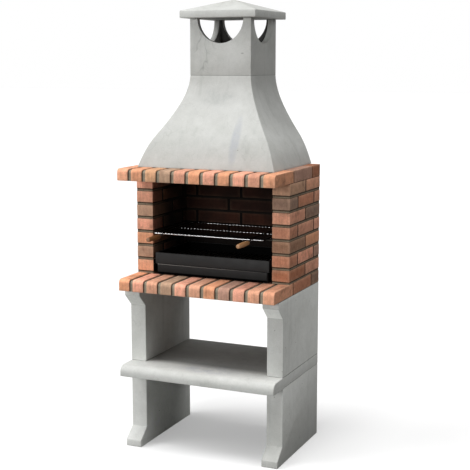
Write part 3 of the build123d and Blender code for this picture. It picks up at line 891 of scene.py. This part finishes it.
def pullOutline(outline, left, right):
    # an outline of y and z values as a prism between two x values
    mesh = bmesh.new()
    face = mesh.faces.new([mesh.verts.new((left, y, z)) for y, z in outline])
    pulled = bmesh.ops.extrude_face_region(mesh, geom=[face])
    bmesh.ops.translate(mesh, vec=(right - left, 0, 0), verts=movedVerts(pulled))
    bmesh.ops.recalc_face_normals(mesh, faces=mesh.faces)
    return mesh


def arcPoints(radius, fullTurn, steps):
    # each step of an arc: how far along the first axis and how far along the second
    turns = [fullTurn * step / steps for step in range(steps + 1)]
    return [(radius * math.cos(turn), radius * math.sin(turn)) for turn in turns]


def toneAlong(tones, share):
    # straight between the listed shares and their tones
    for (start, first), (end, second) in zip(tones, tones[1:]):
        if share <= end:
            return first + (second - first) * max(0.0, share - start) / (end - start)
    return tones[-1][1]


def markCasting(mesh, levels, reach, toneAndShadingAt, jointShade=1.0):
    # painted shade in the joints with the next castings, at the given heights, and the tone of the
    # casting, which carries painted light and shade
    seam = mesh.verts.layers.float.new("castSeam")
    tone = mesh.verts.layers.float.new("castTone")
    mesh.normal_update()
    for vert in mesh.verts:
        gap = min((abs(vert.co.z - level) for level in levels), default=reach)
        vert[seam] = jointShade * max(0.0, 1.0 - gap / reach)
        vert[tone] = toneAndShadingAt(vert)


def finishCasting(mesh, node, sharpAngle=40.0):
    finishPiece(mesh, node, "cast", "cast_concrete", sharpAngle=sharpAngle)


def makeLeg(node, outline, slope, values):
    low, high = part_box(node)
    arris = values["arris"]
    mesh = pullOutline(outline, low.x, high.x)
    bevelSharp(mesh, arris, values["arrisSegments"], 20.0)
    front, under, flank, fall = values["tones"][node]

    def legShading(vert):
        if min(vert.co.x - low.x, high.x - vert.co.x) < onFace:
            upward = (vert.co.z - low.z) / (high.z - low.z) - 0.5
            backward = (vert.co.y - low.y) / (high.y - low.y) - 0.5
            return flank + fall * (upward - 0.5 * backward)
        onSlope = slope[0] + values["slopeEdge"] < vert.co.z < slope[1] - values["slopeEdge"]
        return under if onSlope else front

    markCasting(mesh, (low.z, high.z) if low.z > arris else (), arris, legShading)
    finishCasting(mesh, node)


def makeLegs(values):
    for side in sides:
        low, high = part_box(f"lower_leg_{side}")
        front = high.y - values["legDepth"]
        ankle = low.z + values["toeHeight"]
        shin = ankle + values["footSlopeHeight"]
        makeLeg(f"lower_leg_{side}", [
            (high.y, low.z), (low.y, low.z), (low.y, ankle),
            (front, shin), (front, high.z), (high.y, high.z),
        ], (0.0, 0.0), values)
        low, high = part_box(f"upper_leg_{side}")
        lip = high.z - values["lipHeight"]
        neck = lip - values["corbelSlopeHeight"]
        makeLeg(f"upper_leg_{side}", [
            (high.y, low.z), (front, low.z), (front, neck),
            (low.y, lip), (low.y, high.z), (high.y, high.z),
        ], (neck, lip), values)


def makeShelf(values):
    low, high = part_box("storage_shelf")
    radius = values["noseRadius"]
    arc = arcPoints(radius, math.radians(90.0), values["noseSteps"])
    nose = [(low.y + radius - back, high.z - radius + rise) for back, rise in arc]
    mesh = pullOutline([(high.y, low.z), (low.y, low.z), *nose, (high.y, high.z)], low.x, high.x)
    bevelSharp(mesh, values["arris"], values["arrisSegments"])
    depth = high.y - low.y
    tones = values["shelfLightAndShade"]
    for share, tone in tones[1:-1]:
        cutAcross(mesh, 1, high.y - share * depth)

    def shelfShading(vert):
        onEnd = abs(vert.co.x) > high.x - onFace
        return values["shelfEndLight"] if onEnd else toneAlong(tones, (high.y - vert.co.y) / depth)

    markCasting(mesh, (), values["arris"], shelfShading)
    finishCasting(mesh, "storage_shelf")


makeLegs(castShape)
makeShelf(castShape)
print("legs and shelf cast")


# Rings: rectangles drawn one above the other and joined, for the hood, the cap and the fire unit
def ringSkin(rings, closed=False):
    # each ring is left, right, front, rear and height; closed joins the last to the first, and else
    # both ends are capped
    mesh = bmesh.new()
    loops = []
    for left, right, front, rear, height in rings:
        corners = [(left, front), (right, front), (right, rear), (left, rear)]
        verts = [mesh.verts.new((x, y, height)) for x, y in corners]
        loops.append([mesh.edges.new((verts[step], verts[(step + 1) % 4])) for step in range(4)])
    for first, second in zip(loops, loops[1:]):
        bmesh.ops.bridge_loops(mesh, edges=first + second)
    if closed:
        bmesh.ops.bridge_loops(mesh, edges=loops[-1] + loops[0])
    else:
        for loop in (loops[0], loops[-1]):
            bmesh.ops.contextual_create(mesh, geom=loop)
    bmesh.ops.recalc_face_normals(mesh, faces=mesh.faces)
    return mesh


def insetRing(low, high, inset, height):
    return (low.x + inset, high.x - inset, low.y + inset, high.y - inset, height)


# Hood: a flared concrete shell, wide at its foot and square at its head
hood = {
    # how far the flare still stands out beyond the head, from the foot up in equal steps
    "flareShares": (1.0, 0.921, 0.832, 0.716, 0.571, 0.428, 0.299, 0.185, 0.093, 0.029, 0.0),
    "ringsPerStep": 4,
    "headHalf": 160.0 * mm,
    "headDepth": 320.0 * mm,
    "footWall": 40.0 * mm,
    "headWall": 28.0 * mm,
    "arris": 2.5 * mm,
    "arrisSegments": 2,
    "paintedJointShade": 0.45,
    "flueSmokeAndShade": 0.9,
    "smokeMargin": 5.0 * mm,
    "flankNormal": 0.6,
    # painted light and shade: tone of the front and of the flanks from the foot to the head, at these
    # shares of the height
    "frontLightAndShade": ((0.0, 0.79), (0.1, 0.875), (0.25, 0.915), (0.4, 0.965), (0.5, 0.99), (1.0, 0.98)),
    "flankLightAndShade": (
        (0.0, 0.86), (0.1, 0.95), (0.2, 1.08), (0.3, 1.08), (0.42, 0.98), (0.7, 0.92), (1.0, 0.88),
    ),
}


def flareShare(shares, height):
    # smooth value between the listed shares, height from 0 to 1
    place = height * (len(shares) - 1)
    step = min(int(place), len(shares) - 2)
    t = place - step
    before = shares[step - 1] if step else 2 * shares[0] - shares[1]
    start = shares[step]
    end = shares[step + 1]
    after = shares[step + 2] if step + 2 < len(shares) else end
    slopeIn = (end - before) / 2
    slopeOut = (after - start) / 2
    return (
        (2 * t ** 3 - 3 * t ** 2 + 1) * start + (t ** 3 - 2 * t ** 2 + t) * slopeIn
        + (3 * t ** 2 - 2 * t ** 3) * end + (t ** 3 - t ** 2) * slopeOut
    )


def makeHood(values):
    low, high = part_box("hood")
    tall = high.z - low.z

    def ringAt(height, headWall=0.0, footWall=0.0):
        # the outer face at a share of the height, or a face so far inside it
        share = flareShare(values["flareShares"], height)
        headHalf = values["headHalf"] - headWall
        headFront = high.y - values["headDepth"] + headWall
        half = headHalf + share * (high.x - footWall - headHalf)
        front = headFront + share * (low.y + footWall - headFront)
        return (-half, half, front, high.y - headWall, low.z + tall * height)

    steps = values["ringsPerStep"] * (len(values["flareShares"]) - 1)
    heights = [step / steps for step in range(steps + 1)]
    outer = [ringAt(height) for height in heights]
    inner = [ringAt(height, values["headWall"], values["footWall"]) for height in heights]
    mesh = ringSkin(outer + inner[::-1], closed=True)
    bevelSharp(mesh, values["arris"], values["arrisSegments"])

    def hoodShading(vert):
        tones = values["flankLightAndShade" if abs(vert.normal.x) > values["flankNormal"] else "frontLightAndShade"]
        return toneAlong(tones, (vert.co.z - low.z) / tall)

    markCasting(mesh, (high.z,), values["arris"], hoodShading, values["paintedJointShade"])
    # smoke with painted shade inside the flue
    smoke = mesh.verts.layers.float.new("castSmoke")
    margin = values["smokeMargin"]
    for vert in mesh.verts:
        left, right, front, rear, height = ringAt(clamp((vert.co.z - low.z) / tall))
        inside = abs(vert.co.x) < right - values["headWall"]
        inside = inside and front + margin < vert.co.y < rear - margin
        vert[smoke] = values["flueSmokeAndShade"] if inside else 0.0
    finishCasting(mesh, "hood")


makeHood(hood)

# Chimney pot: four walls, each with a half-round window cut down from its top
chimney = {
    "wall": 28.0 * mm,
    "windowRadius": 120.0 * mm,
    "windowSteps": 48,
    "arris": 1.6 * mm,
    "arrisSegments": 2,
    "tone": 0.96,
    "paintedJointShade": 0.45,
    "smoke": {"ends": 0.96, "flanks": 0.35},     # smoke with painted shade on the inner faces of front and rear, and of the sides
}


def makeChimney(values):
    low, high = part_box("chimney_pot")
    half = high.x
    middle = (low.y + high.y) / 2
    radius = values["windowRadius"]
    arc = [(across, high.z - drop) for across, drop in arcPoints(radius, math.pi, values["windowSteps"])]
    mesh = bmesh.new()
    outline = [(-half, low.z), (half, low.z), (half, high.z), *arc, (-half, high.z)]
    face = mesh.faces.new([mesh.verts.new((x, -half, z)) for x, z in outline])
    for vert in movedVerts(bmesh.ops.extrude_face_region(mesh, geom=[face])):
        vert.co.y += values["wall"]
        if abs(vert.co.x) > radius + onFace:
            vert.co.x -= math.copysign(values["wall"], vert.co.x)
    # the slanted ends, where one wall meets the next, are open
    mitres = [
        item for item in mesh.faces
        if all(abs(vert.co.x) > radius + onFace for vert in item.verts)
        and abs(item.calc_center_median().z - (low.z + high.z) / 2) < 1 * mm
        and len({round(vert.co.y, 5) for vert in item.verts}) == 2
    ]
    bmesh.ops.delete(mesh, geom=mitres, context="FACES_ONLY")
    wall = mesh.verts[:] + mesh.edges[:] + mesh.faces[:]
    for turn in (90.0, 180.0, 270.0):
        verts = movedVerts(bmesh.ops.duplicate(mesh, geom=wall))
        matrix = Matrix.Rotation(math.radians(turn), 3, "Z")
        bmesh.ops.rotate(mesh, verts=verts, cent=(0, 0, 0), matrix=matrix)
    bmesh.ops.remove_doubles(mesh, verts=mesh.verts, dist=0.05 * mm)
    bmesh.ops.translate(mesh, vec=(0, middle, 0), verts=mesh.verts)
    bmesh.ops.recalc_face_normals(mesh, faces=mesh.faces)
    bevelSharp(mesh, values["arris"], values["arrisSegments"])
    markCasting(mesh, (low.z, high.z), values["arris"], lambda vert: values["tone"], values["paintedJointShade"])
    smoke = mesh.verts.layers.float.new("castSmoke")
    inside = half - values["wall"] + 1 * mm
    for vert in mesh.verts:
        across = abs(vert.co.x)
        along = abs(vert.co.y - middle)
        face = "ends" if along > across else "flanks"
        vert[smoke] = values["smoke"][face] if max(across, along) < inside else 0.0
    finishCasting(mesh, "chimney_pot")


makeChimney(chimney)

# Chimney cap: a band with a shallow pyramid
cap = {"bandHeight": 35.0 * mm, "tipHalf": 4.0 * mm, "arris": 3.0 * mm, "arrisSegments": 3, "tone": 1.04}


def makeCap(values):
    low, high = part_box("chimney_cap")
    middle = (low.y + high.y) / 2
    tip = values["tipHalf"]
    mesh = ringSkin([
        insetRing(low, high, 0.0, low.z),
        insetRing(low, high, 0.0, low.z + values["bandHeight"]),
        (-tip, tip, middle - tip, middle + tip, high.z),
    ])
    bevelSharp(mesh, values["arris"], values["arrisSegments"], 15.0)
    markCasting(mesh, (), values["arris"], lambda vert: values["tone"])
    finishCasting(mesh, "chimney_cap", 25.0)


makeCap(cap)
print("hood, chimney and cap cast")


# Fire unit: folded sheet
sheetSteel = {
    "thickness": 2.5 * mm,
    "fold": 1.0 * mm,
    "foldSegments": 3,
    "rim": 9.0 * mm,
    "flange": 16.0 * mm,
    # soot and painted shade inside the basket
    "basketSootAndShade": 0.95,
    "trayInset": 6.0 * mm,
    "trayHeight": 42.0 * mm,
    "drawerLip": 8.0 * mm,
    "lipHighlight": 0.9,          # painted highlight, at the left end of the lip
    "panelDarkening": 0.6,        # the panel darker towards its foot, above the painted shadow that is all black
    # a painted shadow, all black, along the foot of the drawer's panel
    "paintedFootShadow": 9.0 * mm,
    "footShadowFade": 1.5 * mm,
}


def makeBasket(values):
    low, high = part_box("charcoal_basket")
    sheet = values["thickness"]
    rim = values["rim"]
    flange = values["flange"]
    mesh = ringSkin([insetRing(low, high, inset, height) for inset, height in (
        (flange, low.z), (0.0, low.z), (0.0, high.z), (rim, high.z),
        (rim, high.z - sheet), (sheet, high.z - sheet), (sheet, low.z + sheet), (flange, low.z + sheet),
    )], closed=True)
    bevelSharp(mesh, values["fold"], values["foldSegments"])
    sootAndShade = mesh.verts.layers.float.new("sheetSoot")
    for vert in mesh.verts:
        gap = min(vert.co.x - low.x, high.x - vert.co.x, vert.co.y - low.y, high.y - vert.co.y)
        inside = gap > sheet / 2 and vert.co.z < high.z - sheet / 2
        vert[sootAndShade] = values["basketSootAndShade"] if inside else 0.0
    finishPiece(mesh, "charcoal_basket", "folded", "black_steel", "charcoal_basket")


def addBlock(mesh, low, high, radius, segments):
    # a small rounded block, joined to the mesh as a shell of its own
    edges = {edge for vert in addBox(mesh, low, high) for edge in vert.link_edges}
    bevelEdges(mesh, list(edges), radius, segments)


def makeDrawer(values):
    low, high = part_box("ash_drawer")
    sheet = values["thickness"]
    folded = (values["fold"], values["foldSegments"])
    inset = values["trayInset"]
    trayLow = Vector((low.x + inset, low.y + sheet, low.z))
    trayHigh = Vector((high.x - inset, high.y, low.z + values["trayHeight"]))
    mesh = ringSkin([insetRing(trayLow, trayHigh, inset, height) for inset, height in (
        (sheet, trayLow.z + sheet), (sheet, trayHigh.z), (0.0, trayHigh.z), (0.0, trayLow.z),
    )])
    bevelSharp(mesh, *folded)
    addBlock(mesh, low, (high.x, low.y + sheet, high.z), *folded)
    lipHigh = (trayHigh.x, low.y + sheet + values["drawerLip"], high.z)
    addBlock(mesh, (trayLow.x, low.y, high.z - sheet), lipHigh, *folded)
    foot = low.z + values["paintedFootShadow"]
    for level in (foot, foot + values["footShadowFade"], high.z - sheet - 0.5 * mm):
        cutAcross(mesh, 2, level)
    sootAndShade = mesh.verts.layers.float.new("sheetSoot")
    highlight = mesh.verts.layers.float.new("sheetWear")
    # painted shadow at the panel's foot, and the panel darker towards its foot
    for vert in mesh.verts:
        onPanel = vert.co.y < low.y + sheet
        # painted highlight along the lip, strongest at its left end
        onLip = onPanel and vert.co.z > high.z - sheet
        risen = values["panelDarkening"] * (high.z - vert.co.z) / (high.z - low.z) if onPanel else 0.0
        vert[sootAndShade] = 1.0 if onPanel and vert.co.z < foot + values["footShadowFade"] / 3 else risen
        vert[highlight] = values["lipHighlight"] * (high.x - vert.co.x) / (high.x - low.x) if onLip else 0.0
    finishPiece(mesh, "ash_drawer", "folded", "black_steel", "ash_drawer")


makeBasket(sheetSteel)
makeDrawer(sheetSteel)
for side in sides:
    dressNode(f"drawer_runner_{side}", "black_steel")
    dressNode(f"grill_rail_{side}", "bare_steel")
print("fire unit folded")


# Round rods: curves with a round bevel, turned into meshes
def roundedPath(points, radius, steps=6):
    # the points with an arc in place of each inner corner
    path = [Vector(points[0])]
    for before, corner, after in zip(points, points[1:], points[2:]):
        corner = Vector(corner)
        back = (Vector(before) - corner).normalized()
        ahead = (Vector(after) - corner).normalized()
        half = (math.pi - back.angle(ahead)) / 2
        reach = radius * math.tan(half)
        centre = corner + (back + ahead).normalized() * (radius / math.cos(half))
        start = corner + back * reach - centre
        axis = start.cross(corner + ahead * reach - centre).normalized()
        for step in range(steps + 1):
            path.append(centre + Matrix.Rotation(2 * half * step / steps, 3, axis) @ start)
    path.append(Vector(points[-1]))
    return path


def rodMesh(runs, radius, fineness=3):
    # each run is its points, its share of the radius, and whether it closes on itself
    curve = bpy.data.curves.new("rods", "CURVE")
    curve.dimensions = "3D"
    curve.bevel_depth = radius
    curve.bevel_resolution = fineness
    curve.use_fill_caps = True
    for points, share, closed in runs:
        spline = curve.splines.new("POLY")
        spline.points.add(len(points) - 1)
        for point, place in zip(spline.points, points):
            point.co = (*place, 1.0)
            point.radius = share
        spline.use_cyclic_u = closed
    holder = addObject("rods", curve)
    graph = bpy.context.evaluated_depsgraph_get()
    data = bpy.data.meshes.new_from_object(holder.evaluated_get(graph))
    mesh = bmesh.new()
    mesh.from_mesh(data)
    bpy.data.objects.remove(holder)
    bpy.data.curves.remove(curve)
    bpy.data.meshes.remove(data)
    return mesh


def finishRods(mesh, node, ending, slot, body="cooking_grill"):
    finishPiece(mesh, node, ending, slot, body, sharpAngle=50.0)


# Cooking grill: a rod frame with a middle bar, and wires welded on from front to back
grill = {
    "frameRadius": 3.0 * mm,
    "wireRadius": 1.5 * mm,
    "cornerRadius": 10.0 * mm,
    "wireGaps": 32,
    "handleWire": 13,        # counted from the middle: a handle rod lies in the place of this wire
    "weldSink": 0.4 * mm,
    "paintedNotchTop": 0.4,          # share of the radius above the rod's middle where the painted notch shade starts
    "paintedDark": 0.95,
    "frontBarDimming": 0.5,       # painted shade, growing to the right end of the front bar
}


def makeGrill(values):
    low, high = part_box("cooking_grill")
    rod = values["frameRadius"]
    paintedDark = values["paintedDark"]
    axisZ = low.z + rod
    left, right = low.x + rod, high.x - rod
    front, rear = low.y + rod, high.y - rod
    middle = (front + rear) / 2
    outline = [(0, front), (right, front), (right, rear), (left, rear), (left, front), (0, front)]
    frameRun = roundedPath([(x, y, axisZ) for x, y in outline], values["cornerRadius"])[:-1]
    runs = [(frameRun, 1.0, True), ([(left, middle, axisZ), (right, middle, axisZ)], 1.0, False)]
    wireZ = axisZ + rod + values["wireRadius"] - values["weldSink"]
    pitch = (right - left) / values["wireGaps"]
    last = values["wireGaps"] // 2 - 1
    for number in range(-last, last + 1):
        if abs(number) != values["handleWire"]:
            x = number * pitch
            runs.append(([(x, low.y, wireZ), (x, high.y, wireZ)], values["wireRadius"] / rod, False))
    mesh = rodMesh(runs, rod)
    use = mesh.verts.layers.float.new("wireUse")
    tint = mesh.verts.layers.float.new("weldTint")
    film = mesh.verts.layers.float.new("barFilm")
    wireEdge = values["wireRadius"] + onFace / 2
    # painted shade on the wires, the side bars and the right of the front bar, and where the painted
    # notches and glints go
    for vert in mesh.verts:
        offWire = abs(vert.co.x / pitch - round(vert.co.x / pitch)) * pitch
        onWire = vert.co.z > wireZ - wireEdge and offWire < wireEdge and abs(vert.co.x) < right - rod
        onSide = abs(vert.co.x) > right - 2 * rod and vert.co.y > front + 2 * rod
        onSide = onSide and abs(vert.co.y - middle) > 2 * rod
        onFront = vert.co.y < front + 2 * rod
        smoked = values["frontBarDimming"] * (vert.co.x - left) / (right - left) if onFront else 0.0
        vert[use] = paintedDark if onWire or onSide else smoked
        vert[tint] = paintedDark if onFront and vert.co.z > axisZ + values["paintedNotchTop"] * rod else 0.0
        vert[film] = 0.0 if onFront else paintedDark
    finishRods(mesh, "cooking_grill", "welded", "chromed_wire")


makeGrill(grill)

# Handles: a rod cranked down from the grill, and a turned grip on its end
handle = {
    "rodRadius": 3.0 * mm,
    "bendRadius": 12.0 * mm,
    "bendSteps": 8,
    "straight": 6.0 * mm,
    "crankLength": 33.0 * mm,
    "paintedDark": 0.95,         # painted shade over the grill
    "gripRadius": 12.0 * mm,
    "gripEndRadius": 10.25 * mm,
    "endRound": 4.0 * mm,
    "endSteps": 4,
    "swellSteps": 12,
    "boreRadius": 3.1 * mm,
    "boreDepth": 62.0 * mm,
    "turnSteps": 40,
    # painted shade on each grip
    "gripUse": {"left": 0.6, "right": 0.0},
}


def makeRod(side, values):
    node = f"handle_rod_{side}"
    low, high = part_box(node)
    x = (low.x + high.x) / 2
    radius = values["rodRadius"]
    topZ = high.z - radius
    lowZ = low.z + radius
    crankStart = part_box("cooking_grill")[0].y - values["straight"]
    crankEnd = crankStart - values["crankLength"]
    points = [(x, high.y, topZ), (x, crankStart, topZ), (x, crankEnd, lowZ), (x, low.y, lowZ)]
    path = roundedPath(points, values["bendRadius"], values["bendSteps"])
    mesh = rodMesh([(path, 1.0, False)], radius, 4)
    use = mesh.verts.layers.float.new("wireUse")
    for vert in mesh.verts:
        vert[use] = values["paintedDark"] if vert.co.y > crankStart - radius else 0.0
    finishRods(mesh, node, "bent", "chromed_wire")


def makeGrip(side, values):
    node = f"handle_grip_{side}"
    low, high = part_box(node)
    x = (low.x + high.x) / 2
    z = (low.z + high.z) / 2
    length = high.y - low.y
    bore = values["boreRadius"]
    depth = values["boreDepth"]
    endRadius = values["gripEndRadius"]
    ease = values["endRound"]
    swell = values["gripRadius"] - endRadius
    arc = arcPoints(ease, math.radians(90.0), values["endSteps"])
    profile = [(0.0, -depth), (bore, -depth), (bore, 0.0)]
    profile += [(endRadius - ease + rise, -ease + back) for back, rise in arc]
    for step in range(1, values["swellSteps"]):
        share = step / values["swellSteps"]
        along = ease + (length - 2 * ease) * share
        profile.append((endRadius + swell * math.sin(math.pi * share), -along))
    profile += [(endRadius - ease + rise, -length + ease - back) for back, rise in reversed(arc)]
    profile.append((0.0, -length))
    mesh = bmesh.new()
    verts = [mesh.verts.new((x + radius, high.y + along, z)) for radius, along in profile]
    edges = [mesh.edges.new(pair) for pair in zip(verts, verts[1:])]
    bmesh.ops.spin(
        mesh, geom=verts + edges, cent=(x, 0, z), axis=(0, 1, 0), angle=math.radians(360.0),
        steps=values["turnSteps"], use_merge=True,
    )
    bmesh.ops.remove_doubles(mesh, verts=mesh.verts, dist=0.01 * mm)
    bmesh.ops.recalc_face_normals(mesh, faces=mesh.faces)
    use = mesh.verts.layers.float.new("gripUse")
    for vert in mesh.verts:
        vert[use] = values["gripUse"][side]
    finishPiece(mesh, node, "turned", "turned_beech", "cooking_grill")


for side in sides:
    makeRod(side, handle)
    makeGrip(side, handle)
print("grill and handles made")

# Charcoal grate: rods on two flat bars
grate = {
    "rodRadius": 4.0 * mm,
    "rods": 21,
    "barWidth": 12.0 * mm,
    "barHeight": 5.0 * mm,
    "barShare": 0.22,
    "barArris": 0.8 * mm,
    "barArrisSegments": 2,
}


def makeGrate(values):
    low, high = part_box("charcoal_grate")
    radius = values["rodRadius"]
    rodZ = high.z - radius
    pitch = (high.x - low.x - 2 * radius) / (values["rods"] - 1)
    places = [low.x + radius + number * pitch for number in range(values["rods"])]
    mesh = rodMesh([([(x, low.y, rodZ), (x, high.y, rodZ)], 1.0, False) for x in places], radius)
    half = values["barWidth"] / 2
    for share in (values["barShare"], 1 - values["barShare"]):
        y = low.y + (high.y - low.y) * share
        barHigh = (high.x, y + half, low.z + values["barHeight"])
        addBlock(mesh, (low.x, y - half, low.z), barHigh, values["barArris"], values["barArrisSegments"])
    finishRods(mesh, "charcoal_grate", "welded", "bare_steel", "charcoal_grate")


makeGrate(grate)
print("grate made")


# Studio: a white room, four lamps, and a floor that keeps the shadow. Each lamp has its strength, its
# spread, and where it shines from: degrees to the right of the front, and degrees up
studio = {
    "lamps": {
        "top": (2.1, 32.0, 0.0, 80.0),
        "left": (1.5, 32.0, -60.0, 45.0),
        "front": (2.6, 32.0, -11.0, 3.0),
        "right": (0.75, 40.0, 90.0, 30.0),
    },
    "skyStrength": 0.08,
    "floorColour": "#5C5C5A",    # what the object is lit by
    "floorShown": "#FFFFFF",     # what the camera sees
    "floorGlow": 0.33,           # share of plain white in what the camera sees
    "floorHalf": 60.0,
    "white": (1.0, 1.0, 1.0, 1.0),
}


def makeLamp(name, strength, spread, turn, up):
    sun = bpy.data.lights.new(name, "SUN")
    sun.energy = strength
    sun.angle = math.radians(spread)
    lamp = addObject(name, sun)
    lamp.rotation_euler = direction(turn, up).to_track_quat("Z", "Y").to_euler()


def mixShown(tree, lit, shown):
    # one shader for light, and another for rays that show a surface, straight or in a mirror or glass
    path = addNode(tree, "LightPath")
    seen = path.outputs["Is Camera Ray"]
    for ray in ("Is Transmission Ray", "Is Glossy Ray"):
        seen = addNode(tree, "Math", {"operation": "MAXIMUM"}, {0: seen, 1: path.outputs[ray]})
    return addNode(tree, "MixShader", links={0: seen, 1: lit, 2: shown})


def makeStudio(values):
    for name, lamp in values["lamps"].items():
        makeLamp(name, *lamp)
    world = bpy.data.worlds.new("whiteRoom")
    tree = emptyTree(world)
    lit, shown = [
        addNode(tree, "Background", {"Color": values["white"], "Strength": strength})
        for strength in (values["skyStrength"], 1.0)
    ]
    addNode(tree, "OutputWorld", links={"Surface": mixShown(tree, lit, shown)})
    bpy.context.scene.world = world

    mesh = bmesh.new()
    bmesh.ops.create_grid(mesh, x_segments=1, y_segments=1, size=values["floorHalf"])
    data = bpy.data.meshes.new("floor")
    mesh.to_mesh(data)
    mesh.free()
    floor = addObject("floor", data)
    material = bpy.data.materials.new("paleFloor")
    tree = emptyTree(material)
    plain, pale = [
        addNode(tree, "BsdfDiffuse", {"Color": hexToLinear(values[colour])})
        for colour in ("floorColour", "floorShown")
    ]
    glow = addNode(tree, "Emission", {"Color": values["white"], "Strength": 1.0})
    shown = addNode(tree, "MixShader", {0: values["floorGlow"]}, {1: pale, 2: glow})
    addNode(tree, "OutputMaterial", links={"Surface": mixShown(tree, plain, shown)})
    data.materials.append(material)


makeStudio(studio)
print("studio lit")
